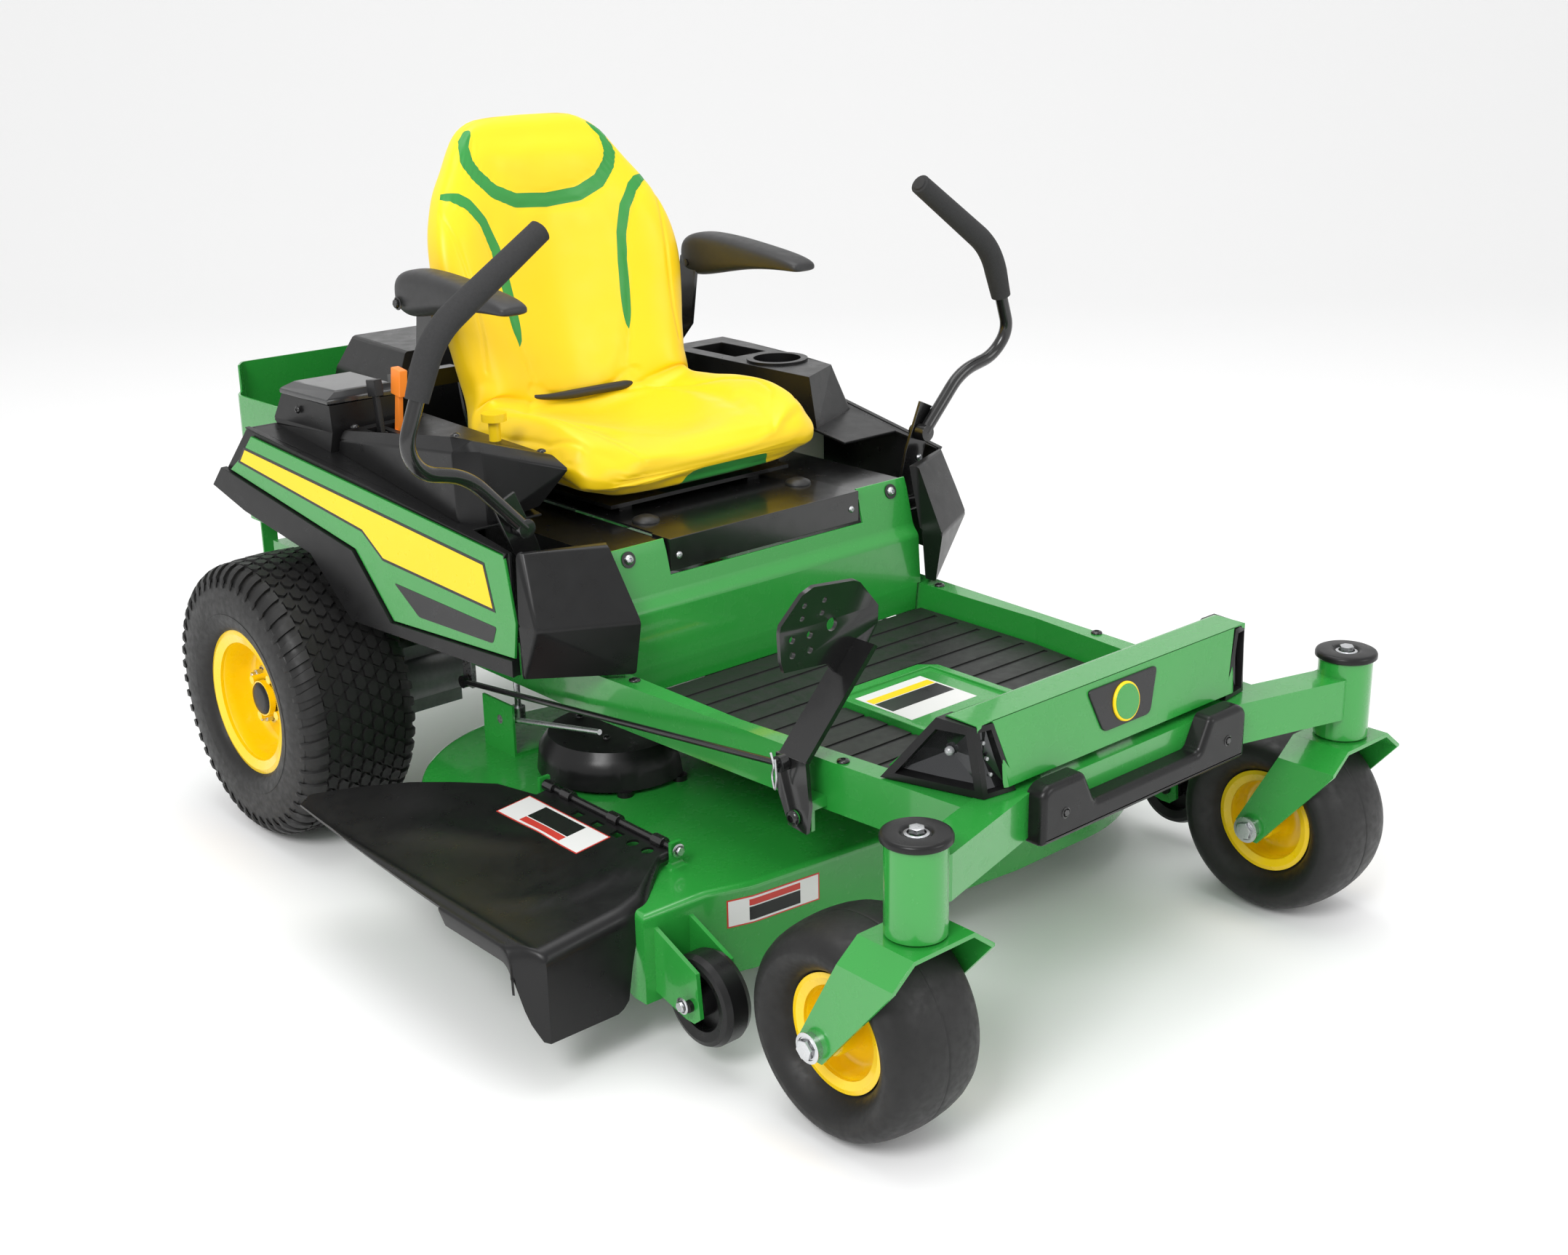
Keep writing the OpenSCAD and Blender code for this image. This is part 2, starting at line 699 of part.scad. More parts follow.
module deck_shell() {
    placed(green) difference() {
        union() {
            translate([0, 0, deck_low]) linear_extrude(deck_top - deck_low) deck_outline(0);
            roller_brackets();
            // Hangers for the lift links
            both_sides() {
                block([-352, -430, deck_top], [-348, -350, 282]);
                block([-352, -430, deck_top], [-300, -350, deck_top + 4]);
            }
            // Lugs for the chute's hinge rod
            for (y = [-893, -593]) block([hinge_x - 9, y, deck_top - 1], [hinge_x + 9, y + 6, hinge_z + 14]);
        }
        translate([0, 0, deck_low - 5]) linear_extrude(deck_top - deck_wall - deck_low + 5) deck_outline(deck_wall);
        // Discharge opening in the right-hand side
        block([-600, -950, deck_low - 5], [-440, -600, deck_top - deck_wall]);
        // Holes for the spindle housings
        translate([right_spindle.x, right_spindle.y, 150]) cylinder(h = 100, r = 48);
        translate([left_spindle.x, left_spindle.y, 150]) cylinder(h = 100, r = 48);
        // Holes for the roller bolts
        both_sides() rod_x(-560, -440, roller_y, roller_z, 8);
        rod_y(-900, -580, hinge_x, hinge_z + 3, 5.1);
        // Holes for the lift link trunnions
        rod_x(-360, 360, -link_y, 252, 7.1);
        // The left hanger has no deck under its rear corner, so it stays on the sheet
        block([296, -431, deck_top - 1], [360, -349, 300]);
    }
    // Left hanger, joined to the sheet further forward
    placed(green) difference() {
        union() {
            block([348, -520, deck_top], [352, -430, 260]);
            block([348, -436, 236], [352, -350, 282]);
        }
        rod_x(340, 360, -link_y, 252, 7.1);
    }
}

module deck_spindles() {
    placed(grey) for (c = [right_spindle, left_spindle]) translate([c.x, c.y, 0]) difference() {
        union() {
            translate([0, 0, 150]) cylinder(h = 78, r = 47.8);
            translate([0, 0, deck_top]) cylinder(h = 7, r = 74);
        }
        translate([0, 0, 140]) cylinder(h = 120, r = 15.05);
    }
}

module blade(c, turn) {
    placed(steel) translate([c.x, c.y, 0]) rotate([0, 0, turn]) {
        translate([0, 0, 100]) cylinder(h = 156, r = 15);
        translate([0, 0, 92]) cylinder(h = 9, r = 18, $fn = 6);
        block([-blade_len / 2, -28, 100], [blade_len / 2, 28, 105]);
        // Lifted trailing edges
        for (a = [0, 180]) rotate([0, 0, a]) translate([blade_len / 2 - 92, 24, 100.5])
            rotate([30, 0, 0]) cube([90, 28, 4]);
        translate([0, 0, 231]) rotate_extrude()
            polygon([[14, 0], [72, 0], [72, 5], [64, 7], [64, 17], [72, 19], [72, 24], [14, 24]]);
    }
}

belt_low = 239;
belt_high = 247;

module deck_belt() {
    module loop(r) {
        hull() {
            translate(right_spindle) circle(r = r, $fn = 96);
            translate(left_spindle) circle(r = r, $fn = 96);
        }
    }
    placed("#2a2a2a") translate([0, 0, belt_low]) linear_extrude(belt_high - belt_low) difference() {
        loop(74);
        loop(64.6);
    }
}

module pulley_cover(c, other) {
    d = other - c;
    difference() {
        translate([c.x, c.y, deck_top + 7.3]) rotate_extrude() polygon([
            [108, 0], [116, 0], [112, 34], [98, 54], [60, 56], [0, 56], [0, 52], [58, 52], [95, 50], [108, 32]
        ]);
        // The belt leaves on the side that faces the other spindle
        translate([c.x, c.y, deck_top]) rotate([0, 0, atan2(d.y, d.x)])
            block([0, -84, 0], [200, 84, 54]);
    }
}

module pulley_covers() {
    placed(black) {
        pulley_cover(right_spindle, left_spindle);
        pulley_cover(left_spindle, right_spindle);
        // Feet on the deck
        for (c = [right_spindle, left_spindle]) for (a = [100, 170, 240, 290])
            translate([c.x, c.y, deck_top]) rotate([0, 0, a + (c.x > 0 ? 180 : 0)])
                translate([112, 0, 0]) cylinder(h = 8, r = 12);
    }
}

link_x = 318;
link_y = lift_y + lift_arm;

// Threaded lift links with their trunnions, standing on the deck hangers
module deck_links() {
    placed(steel) for (s = [-1, 1]) {
        translate([s * link_x, -link_y, 240]) cylinder(h = 136, r = 5);
        translate([s * link_x, -link_y, 240]) cylinder(h = 24, r = 11);
        translate([s * link_x, -link_y, 366]) cylinder(h = 8, r = 9, $fn = 6);
        rod_x(min(s * link_x, s * 352), max(s * link_x, s * 352), -link_y, 252, 7);
        // Drag link beside the rail
        rod([s * 343.5, -431, 258], [s * 343.5, -640, 300], 4);
    }
}

module roller(s) {
    placed(black) {
        wheel_turned(s * roller_x, roller_y, roller_z) polygon([
            [0, -24], [20, -24], [20, -4], [40, -4], [40, -18], [52, -22], [58, -20], [roller_r, -12],
            [roller_r, 12], [58, 20], [52, 22], [40, 18], [40, 4], [20, 4], [20, 24], [0, 24]
        ]);
        // Bolt
        rod_x(s * roller_x - 37, s * roller_x + 37, roller_y, roller_z, 7.9);
    }
}

hinge_x = -410;
hinge_z = 222;

module discharge_chute() {
    slope = 5.7;
    wall_y = -958;
    top_plan = [
        [4, -880], [4, -604], [-24, -604], [-40, -530], [-120, -420], [-236, -330], [-262, -350], [-280, -560],
        [-286, -760], [-286, -900], [-262, -962], [-135, -962], [-60, -906], [-24, -880]
    ];
    placed(black) {
        translate([hinge_x, 0, hinge_z]) rotate([0, -slope, 0]) difference() {
            union() {
                translate([0, 0, -4]) linear_extrude(4) polygon(top_plan);
                // Rim that hangs from the outer edge
                translate([0, 0, -24]) linear_extrude(22) polygon([
                    [-236, -330], [-262, -350], [-280, -560], [-286, -760], [-286, -900],
                    [-281, -900], [-281, -760], [-275, -560], [-257, -352], [-236, -336]
                ]);
            }
            // Holes near the hinge
            for (y = [-850, -800]) translate([-20, y, -10]) cylinder(h = 20, r = 11);
        }
        // Front wall
        front_profile([[-542, 205], [-542, 109], [-562, 105], [-562, 75], [-684, 75], [-695, 190]], -962, -957);
        // Hinge rod
        rod_y(-898, -582, hinge_x, hinge_z + 3, 5);
    }
}

/* ---------- lift linkage ---------- */

pedal_pivot = [-1062, 309];
pedal_pin = [-1044, 380];

module lift_pedal() {
    arm = [[-1082, 291], [-1048, 294], [-1027, 340], [-1026, 388], [-1082, 388], [-1088, 330]];
    plate_low = [
        [-355, 515], [-350, 500], [-276, 494], [-262, 478], [-206, 500], [-186, 528], [-185, 552], [-357, 552]
    ];
    plate_high = [[-357, 0], [-185, 0], [-228, 44], [-240, 50], [-312, 58], [-330, 50], [-357, 12]];
    placed(black) difference() {
        union() {
            side_profile(arm, -349, -343);
            // Strip that leans inboard over the floor
            front_profile([[-349, 386], [-343, 382], [-220, 512], [-226, 516]], -1080, -1030);
            // Foot plate, with its upper part bent forward
            front_profile(plate_low, -1046, -1040);
            translate([0, -1046, 552]) rotate([15, 0, 0]) translate([0, 0, -0.5]) front_profile(plate_high, 0, 6);
        }
        rod_x(-360, -330, pedal_pivot.x, pedal_pivot.y, 6.05);
        // Grip holes through the foot plate
        for (x = [-336, -306]) for (z = [520, 540]) rod_y(-1060, -1030, x, z, 5);
        for (x = [-322, -288]) for (z = [566, 584]) rod_y(-1075, -1030, x, z, 4);
        rod_y(-1060, -1030, -268, 545, 9);
    }
    // Pin that pulls the lift rod
    placed(steel) rod_x(-364, -349, pedal_pin.x, pedal_pin.y, 5);
}

module lift_rod() {
    end_y = -lift_y;
    end_z = lift_z - lift_lever;
    placed(black) difference() {
        union() {
            rod([-358, pedal_pin.x + 8, pedal_pin.y - 1], [-358, end_y, end_z], 4.5);
            rod_x(-362, -350, pedal_pin.x, pedal_pin.y, 11);
            rod_x(-362, -353, end_y, end_z, 10);
        }
        rod_x(-370, -340, pedal_pin.x, pedal_pin.y, 5.05);
    }
}

module lift_shaft() {
    placed(steel) difference() {
        union() {
            rod_x(-349, 342, -lift_y, lift_z, 12.7);
            // Lever that the lift rod pulls
            block([-351, -lift_y - 12, lift_z - lift_lever - 10], [-343, -lift_y + 12, lift_z + 12]);
            // Arms that carry the deck links
            for (s = [-1, 1]) {
                x0 = s * link_x - 11;
                block([x0, -link_y - 25, lift_z - 8], [x0 + 22, -lift_y + 14, lift_z + 8]);
            }
        }
        for (s = [-1, 1]) block([s * link_x - 7, -link_y - 19, 300], [s * link_x + 7, -link_y + 10, 400]);
    }
}

/* ---------- operator controls ---------- */

lever_pivot = [-400, 600];
lever_path = [
    [-400, -562, 600], [-486, -562, 689], [-560, -567, 707], [-587, -576, 748], [-565, -578, 808],
    [-536, -580, 890], [-360, -586, 1010]
];

module lever_carrier(left) {
    plate = [
        [-352, 468], [-384, 468], [-408, 556], [-440, 634], [-404, 650], [-370, 572], [-352, 500]
    ];
    placed(black) on_side(left) difference() {
        union() {
            front_profile(plate, -551, -545);
            rod_x(-392, -342, -545, 480, 16);
        }
        rod_x(-400, -330, -545, 480, 8.05);
        rod_y(-560, -530, lever_pivot.x, lever_pivot.y, 6.05);
    }
}

module lever(left) {
    placed(black) on_side(left) {
        bar(lever_path, lever_tube_r);
        rod_y(-572, -551.5, lever_pivot.x, lever_pivot.y, 14);
        rod_y(-552, -538, lever_pivot.x, lever_pivot.y, 6);
        rod_y(-544.5, -536, lever_pivot.x, lever_pivot.y, 10);
    }
}

module grip(left) {
    low = lever_path[4];
    bend = lever_path[5];
    top = lever_path[6];
    over = (top - bend) / norm(top - bend);
    placed("#2b2b2c") on_side(left) difference() {
        union() {
            rod(low, bend, grip_r);
            translate(bend) sphere(r = grip_r + 0.2, $fn = 48);
            rod(bend, top, grip_r);
        }
        rod(low - [0, 0, 20], low, lever_tube_r);
        translate(low) sphere(r = lever_tube_r + 0.4, $fn = 48);
        rod(low, bend, lever_tube_r);
        translate(bend) sphere(r = lever_tube_r + 0.4, $fn = 48);
        rod(bend, top + 20 * over, lever_tube_r);
    }
}

module engine_lever(x, lean, shade, top) {
    placed(shade) translate([x, -170, 662]) rotate([lean, 0, 0]) {
        block([-4, -6, 0], [4, 6, 70]);
        block([-7, -13, 62], [7, 13, top]);
        rod_x(-9, 9, 0, 0, 7);
    }
}

module throttle_lever() {
    engine_lever(-356, 8, orange, 104);
}

module choke_lever() {
    engine_lever(-386, -8, black, 88);
}

module pto_knob() {
    placed(yellow) translate([-296, -345, 0]) {
        translate([0, 0, 656]) cylinder(h = 46, r = 9);
        translate([0, 0, 700]) cylinder(h = 12, r = 19);
    }
}

module storage_lid() {
    placed("#9a9b9d") {
        loft([
            level([[-446, 32], [-441, -108], [-318, -108], [-318, 32]], 709),
            level([[-446, 32], [-441, -108], [-318, -108], [-318, 32]], 717),
            level([[-425, 18], [-420, -98], [-326, -98], [-326, 18]], 728)
        ]);
    }
    placed(black) rod_y(-90, 15, -318, 713, 3);
}

/* ---------- seat ---------- */

module seat_plate() {
    placed(black) difference() {
        union() {
            block([-186, -619, 548.5], [186, -190, 552]);
            block([-190, -623, 503], [190, -619, 552]);
            for (s = [-1, 1]) block([min(s * 186, s * 190), -620, 508], [max(s * 186, s * 190), -580, 552]);
            // Rubber bumps
            for (s = [-1, 1]) translate([s * 154, -521, 552]) cylinder(h = 8, r = 11);
        }
        rod_x(-200, 200, -598, 522, 5.05);
    }
}

module seat_frame() {
    shell = [
        [-96, 566], [-60, 566], [-30, 640], [10, 820], [34, 1030], [26, 1032], [2, 822], [-38, 642], [-66, 574],
        [-96, 574]
    ];
    placed(black) {
        difference() {
            union() {
                block([-180, -470, 564], [180, -80, 570]);
                for (s = [-1, 1]) block([s * 130 - 12, -440, 552.4], [s * 130 + 12, -150, 565]);
                side_profile(shell, -150, 150);
            }
        }
        for (s = [-1, 1]) {
            // Arm that carries the armrest
            side_profile([
                [-150, 862], [-120, 874], [-106, 862], [-92, 770], [-60, 730], [4, 716], [2, 690], [-76, 690],
                [-130, 746]
            ], min(s * 262, s * 268), max(s * 262, s * 268));
            side_profile([[-24, 690], [2, 690], [4, 716], [-18, 716]], min(s * 148, s * 264), max(s * 148, s * 264));
            rod_x(min(s * 254, s * 300), max(s * 254, s * 300), -129, 853, 6);
        }
    }
}

module seat_cushion() {
    pad = [
        [-470, 570.5], [-500, 600], [-500, 640], [-470, 656], [-330, 644], [-190, 640], [-150, 700], [-110, 850],
        [-80, 1000], [-64, 1090], [-40, 1114], [0, 1112], [26, 1080], [25.5, 1032], [1.5, 822], [-38.5, 642],
        [-66.5, 575.5], [-100, 575.5], [-100, 570.5]
    ];
    placed(yellow) intersection() {
        side_profile(pad, -250, 250);
        front_profile([
            [-200, 560], [-246, 600], [-250, 650], [-212, 720], [-236, 830], [-225, 930], [-165, 1050],
            [-110, 1110], [110, 1110], [165, 1050], [225, 930], [236, 830], [212, 720], [250, 650], [246, 600],
            [200, 560]
        ], -520, 60);
    }
}

module armrest(left) {
    pad = [
        [-418, 852], [-415, 866], [-380, 880], [-250, 892], [-140, 893], [-108, 884], [-100, 862],
        [-108, 832], [-140, 826], [-200, 836], [-300, 852], [-390, 850]
    ];
    placed(black) on_side(left) difference() {
        side_profile(pad, -316, -254);
        block([-269, -156, 790], [-261, -70, 887]);
        rod_x(-320, -250, -129, 853, 6.05);
    }
}

main_frame();
floor_hatch();
floor_mat();
front_panel();
front_hood();
headlights();
front_bumper();
corner_covers();
right_fender();
left_fender();
side_panels();
right_console();
storage_box();
seat_pedestal();
rear_cover();
engine_guard();
engine_block();
engine_shroud();
muffler();
fuel_tank();
transmissions();
caster_bushes();
rear_rim(false);  // right_rear_rim
rear_tyre(false);  // right_rear_tyre
rear_rim(true);  // left_rear_rim
rear_tyre(true);  // left_rear_tyre
caster_fork(false);  // right_caster_fork
caster_rim(false);  // right_caster_rim
caster_tyre(false);  // right_caster_tyre
caster_fork(true);  // left_caster_fork
caster_rim(true);  // left_caster_rim
caster_tyre(true);  // left_caster_tyre
deck_shell();
pulley_covers();
deck_spindles();
deck_belt();
deck_links();
blade(right_spindle, 40);  // right_blade
blade(left_spindle, 110);  // left_blade
discharge_chute();
roller(-1);  // right_deck_roller
roller(1);  // left_deck_roller
lift_pedal();
lift_rod();
lift_shaft();
lever_carrier(false);  // right_lever_carrier
lever(false);  // right_lever
grip(false);  // right_grip
lever_carrier(true);  // left_lever_carrier
lever(true);  // left_lever
grip(true);  // left_grip
throttle_lever();
choke_lever();
pto_knob();
storage_lid();
seat_plate();
seat_frame();
seat_cushion();
armrest(false);  // right_armrest
armrest(true);  // left_armrest
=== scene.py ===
"""Zero-turn riding lawn mower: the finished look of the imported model."""

import json
import math

import bmesh
import bpy
from mathutils import Matrix, Vector


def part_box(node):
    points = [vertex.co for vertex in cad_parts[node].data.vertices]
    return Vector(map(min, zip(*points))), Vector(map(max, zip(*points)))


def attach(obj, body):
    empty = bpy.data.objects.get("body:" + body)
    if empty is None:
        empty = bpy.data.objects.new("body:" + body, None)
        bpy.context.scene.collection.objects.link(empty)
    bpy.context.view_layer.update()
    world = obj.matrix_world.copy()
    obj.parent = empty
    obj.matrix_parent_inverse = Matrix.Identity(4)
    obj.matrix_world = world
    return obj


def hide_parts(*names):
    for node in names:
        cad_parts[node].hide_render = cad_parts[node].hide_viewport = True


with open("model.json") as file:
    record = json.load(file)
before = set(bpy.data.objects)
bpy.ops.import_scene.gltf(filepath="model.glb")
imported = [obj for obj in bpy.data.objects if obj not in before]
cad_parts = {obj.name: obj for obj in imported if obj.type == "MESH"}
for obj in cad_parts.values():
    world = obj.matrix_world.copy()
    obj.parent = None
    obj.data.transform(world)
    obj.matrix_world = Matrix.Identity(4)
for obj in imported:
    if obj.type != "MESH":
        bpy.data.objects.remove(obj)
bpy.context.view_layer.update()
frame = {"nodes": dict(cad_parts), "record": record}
MM = 0.001

# The machine's own origin: middle plane, rear axle, ground
tyre_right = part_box("right_rear_tyre")
tyre_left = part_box("left_rear_tyre")
ORIGIN = Vector((
    (tyre_right[0][0] + tyre_left[1][0]) / 2,
    (tyre_right[0][1] + tyre_right[1][1]) / 2,
    0.0,
))


# Wheel places and the chute's hinge line, in millimetres from the machine's own origin
REAR_X = 485
REAR_Z = 228.6
CASTER_X = 431
CASTER_PIN_Y = -1355
CASTER_Y = -1271.5
CASTER_Z = 139.7
HINGE_X = -410
HINGE_Z = 225


def at(x, y, z):
    """A point given in millimetres from the machine's own origin."""
    return Vector((ORIGIN.x + x * MM, ORIGIN.y + y * MM, z * MM))


# ---- camera
def place_camera():
    yaw = math.radians(41.490)
    pitch = math.radians(-18.281)
    roll = math.radians(-0.974)
    forward = Vector((math.sin(yaw) * math.cos(pitch), math.cos(yaw) * math.cos(pitch), math.sin(pitch)))
    right = Vector((math.cos(yaw), -math.sin(yaw), 0.0))
    up = right.cross(forward)
    r = right * math.cos(roll) + up * math.sin(roll)
    u = up * math.cos(roll) - right * math.sin(roll)
    data = bpy.data.cameras.new("camera")
    data.sensor_width = 36.0
    data.lens = 44.24
    data.shift_x = 0.0059
    data.shift_y = -0.0171
    data.clip_end = 200.0
    camera = bpy.data.objects.new("camera", data)
    bpy.context.scene.collection.objects.link(camera)
    turn = Matrix((r, u, -forward)).transposed().to_4x4()
    camera.matrix_world = Matrix.Translation(at(-1849.72, -2726.12, 1339.46)) @ turn
    bpy.context.scene.camera = camera
    bpy.context.scene.view_settings.view_transform = "Standard"


place_camera()


# ---- materials
def new_material(name):
    material = bpy.data.materials.new(name)
    material.use_nodes = True
    tree = material.node_tree
    shader = tree.nodes["Principled BSDF"]
    return material, tree, shader


def noise(tree, scale, detail=4.0, stretch=None):
    """A noise pattern fixed to the object, with scale in repeats per metre."""
    coords = tree.nodes.new("ShaderNodeTexCoord")
    out = coords.outputs["Object"]
    if stretch:
        mapping = tree.nodes.new("ShaderNodeMapping")
        mapping.inputs["Scale"].default_value = stretch
        tree.links.new(out, mapping.inputs["Vector"])
        out = mapping.outputs["Vector"]
    node = tree.nodes.new("ShaderNodeTexNoise")
    node.inputs["Scale"].default_value = scale
    node.inputs["Detail"].default_value = detail
    tree.links.new(out, node.inputs["Vector"])
    return node.outputs["Fac"]


def spread(tree, value, low, high):
    node = tree.nodes.new("ShaderNodeMapRange")
    node.inputs["From Min"].default_value = 0.3
    node.inputs["From Max"].default_value = 0.7
    node.inputs["To Min"].default_value = low
    node.inputs["To Max"].default_value = high
    tree.links.new(value, node.inputs["Value"])
    return node.outputs["Result"]


def blend_colours(tree, value, first, second):
    node = tree.nodes.new("ShaderNodeMix")
    node.data_type = "RGBA"
    node.inputs["A"].default_value = (*first, 1.0)
    node.inputs["B"].default_value = (*second, 1.0)
    tree.links.new(value, node.inputs["Factor"])
    return node.outputs["Result"]


def bump(tree, value, strength, distance, normal=None):
    node = tree.nodes.new("ShaderNodeBump")
    node.inputs["Strength"].default_value = strength
    node.inputs["Distance"].default_value = distance
    tree.links.new(value, node.inputs["Height"])
    if normal:
        tree.links.new(normal, node.inputs["Normal"])
    return node.outputs["Normal"]


def surface(name, first, second, rough, grain, depth, patch=6.0, metallic=0.0, coat=0.0, coat_rough=0.08,
            sheen=0.0, specular=0.5, stretch=None, strength=0.5):
    """A material with soft colour patches, uneven gloss and a fine grain."""
    material, tree, shader = new_material(name)
    tree.links.new(blend_colours(tree, noise(tree, patch, 5.0), first, second), shader.inputs["Base Color"])
    tree.links.new(spread(tree, noise(tree, patch * 7.0, 6.0), rough[0], rough[1]),
                   shader.inputs["Roughness"])
    tree.links.new(bump(tree, noise(tree, grain, 3.0, stretch), strength, depth * MM),
                   shader.inputs["Normal"])
    shader.inputs["Metallic"].default_value = metallic
    shader.inputs["Coat Weight"].default_value = coat
    shader.inputs["Coat Roughness"].default_value = coat_rough
    shader.inputs["Sheen Weight"].default_value = sheen
    shader.inputs["Specular IOR Level"].default_value = specular
    return material


green_paint = surface("green_paint", (0.020, 0.270, 0.036), (0.023, 0.295, 0.040), (0.22, 0.30), 150, 0.03,
                      coat=0.6, coat_rough=0.05, strength=0.12)
yellow_paint = surface("yellow_paint", (0.93, 0.61, 0.0008), (0.97, 0.65, 0.0014), (0.25, 0.34), 200, 0.03,
                       coat=0.4, coat_rough=0.08, strength=0.15)
black_plastic = surface("black_plastic", (0.0065, 0.0065, 0.0068), (0.0095, 0.0095, 0.0098), (0.26, 0.36),
                        2600, 0.02,
                        strength=0.4, specular=0.30)
black_metal = surface("black_metal", (0.005, 0.005, 0.0052), (0.0075, 0.0075, 0.0078), (0.20, 0.28), 160,
                      0.03,
                      coat=0.35, coat_rough=0.1, strength=0.1)
tyre_rubber = surface("tyre_rubber", (0.0055, 0.0055, 0.0055), (0.0105, 0.0102, 0.0100), (0.42, 0.60), 900,
                      0.05,
                      patch=14.0, specular=0.4)
mat_rubber = surface("mat_rubber", (0.008, 0.008, 0.008), (0.014, 0.014, 0.014), (0.38, 0.55), 1200, 0.04,
                     patch=9.0)
foam = surface("foam", (0.018, 0.018, 0.0185), (0.032, 0.032, 0.033), (0.82, 0.95), 700, 0.5, patch=300.0,
               strength=0.9)
pad_vinyl = surface("pad_vinyl", (0.016, 0.016, 0.0165), (0.024, 0.024, 0.025), (0.40, 0.50), 1700, 0.06,
                    patch=10.0)
steel = surface("steel", (0.56, 0.57, 0.59), (0.68, 0.69, 0.70), (0.24, 0.38), 900, 0.02, patch=40.0,
                metallic=1.0,
                stretch=(1.0, 1.0, 8.0))
cast_metal = surface("cast_metal", (0.20, 0.205, 0.21), (0.33, 0.335, 0.34), (0.48, 0.66), 500, 0.15,
                     patch=30.0,
                     metallic=0.85)
lid_plastic = surface("lid_plastic", (0.022, 0.0225, 0.0235), (0.030, 0.0305, 0.032), (0.16, 0.22), 2400,
                      0.01, coat=0.3)
orange_plastic = surface("orange_plastic", (0.92, 0.235, 0.022), (0.97, 0.27, 0.03), (0.32, 0.42), 1500,
                         0.03)
yellow_plastic = surface("yellow_plastic", (0.93, 0.62, 0.006), (0.97, 0.68, 0.010), (0.30, 0.40), 1500,
                         0.03)
tank_plastic = surface("tank_plastic", (0.62, 0.61, 0.55), (0.70, 0.69, 0.63), (0.40, 0.52), 900, 0.05)
label_black = surface("label_black", (0.010, 0.010, 0.011), (0.013, 0.013, 0.014), (0.26, 0.32), 800, 0.01)
label_yellow = surface("label_yellow", (0.94, 0.64, 0.001), (0.97, 0.68, 0.003), (0.26, 0.33), 800, 0.01)
label_white = surface("label_white", (0.70, 0.70, 0.69), (0.76, 0.76, 0.75), (0.34, 0.42), 800, 0.01)
lens = surface("lens", (0.34, 0.35, 0.36), (0.42, 0.43, 0.44), (0.06, 0.12), 200, 0.02, coat=1.0)


def vinyl():
    """Yellow seat vinyl with green stripes where the piece's stripe value is above zero."""
    material, tree, shader = new_material("seat_vinyl")
    yellow = blend_colours(tree, noise(tree, 5.0, 4.0), (0.93, 0.62, 0.0008), (0.97, 0.66, 0.0014))
    green = blend_colours(tree, noise(tree, 5.0, 4.0), (0.022, 0.250, 0.038), (0.026, 0.280, 0.044))
    mask = tree.nodes.new("ShaderNodeAttribute")
    mask.attribute_name = "stripe"
    step = tree.nodes.new("ShaderNodeMath")
    step.operation = "GREATER_THAN"
    step.inputs[1].default_value = 0.0
    tree.links.new(mask.outputs["Fac"], step.inputs[0])
    mix = tree.nodes.new("ShaderNodeMix")
    mix.data_type = "RGBA"
    tree.links.new(step.outputs["Value"], mix.inputs["Factor"])
    tree.links.new(yellow, mix.inputs["A"])
    tree.links.new(green, mix.inputs["B"])
    tree.links.new(mix.outputs["Result"], shader.inputs["Base Color"])
    tree.links.new(spread(tree, noise(tree, 22.0, 5.0), 0.34, 0.46), shader.inputs["Roughness"])
    cells = tree.nodes.new("ShaderNodeTexVoronoi")
    cells.inputs["Scale"].default_value = 700.0
    coords = tree.nodes.new("ShaderNodeTexCoord")
    tree.links.new(coords.outputs["Object"], cells.inputs["Vector"])
    wide = bump(tree, noise(tree, 16.0, 3.0), 0.25, 2.0 * MM)
    tree.links.new(bump(tree, cells.outputs["Distance"], 0.35, 0.12 * MM, wide), shader.inputs["Normal"])
    shader.inputs["Sheen Weight"].default_value = 0.08
    shader.inputs["Specular IOR Level"].default_value = 0.45
    return material


seat_vinyl = vinyl()

SLOTS = {
    "green_paint": green_paint, "yellow_paint": yellow_paint, "tyre_rubber": tyre_rubber,
    "black_rubber": mat_rubber, "black_plastic": black_plastic, "black_metal": black_metal,
    "bare_steel": steel,
    "cast_metal": cast_metal, "tank_plastic": tank_plastic, "grey_plastic": lid_plastic,
    "orange_plastic": orange_plastic, "yellow_plastic": yellow_plastic, "yellow_vinyl": seat_vinyl,
    "black_foam": pad_vinyl,
}
node_slot = {part["node"]: part["material_slot"] for part in frame["record"]["subparts"]}
body_of_node = {
    node: body for body, nodes in frame["record"]["behaviour"]["bodies"].items() for node in nodes
}


def dress(piece, material):
    piece.data.materials.clear()
    piece.data.materials.append(material)


for node_name, node_object in frame["nodes"].items():
    dress(node_object, SLOTS[node_slot[node_name]])


# ---- mesh helpers
def new_object(name, bm):
    """Puts a bmesh into the scene as an object."""
    mesh = bpy.data.meshes.new(name)
    bm.to_mesh(mesh)
    bm.free()
    made = bpy.data.objects.new(name, mesh)
    bpy.context.scene.collection.objects.link(made)
    return made


def bridge(bm, first, second, wrap=True):
    """Joins two rows of vertices by a strip of faces."""
    count = len(first)
    for k in range(count if wrap else count - 1):
        n = (k + 1) % count
        bm.faces.new((first[k], first[n], second[n], second[k]))


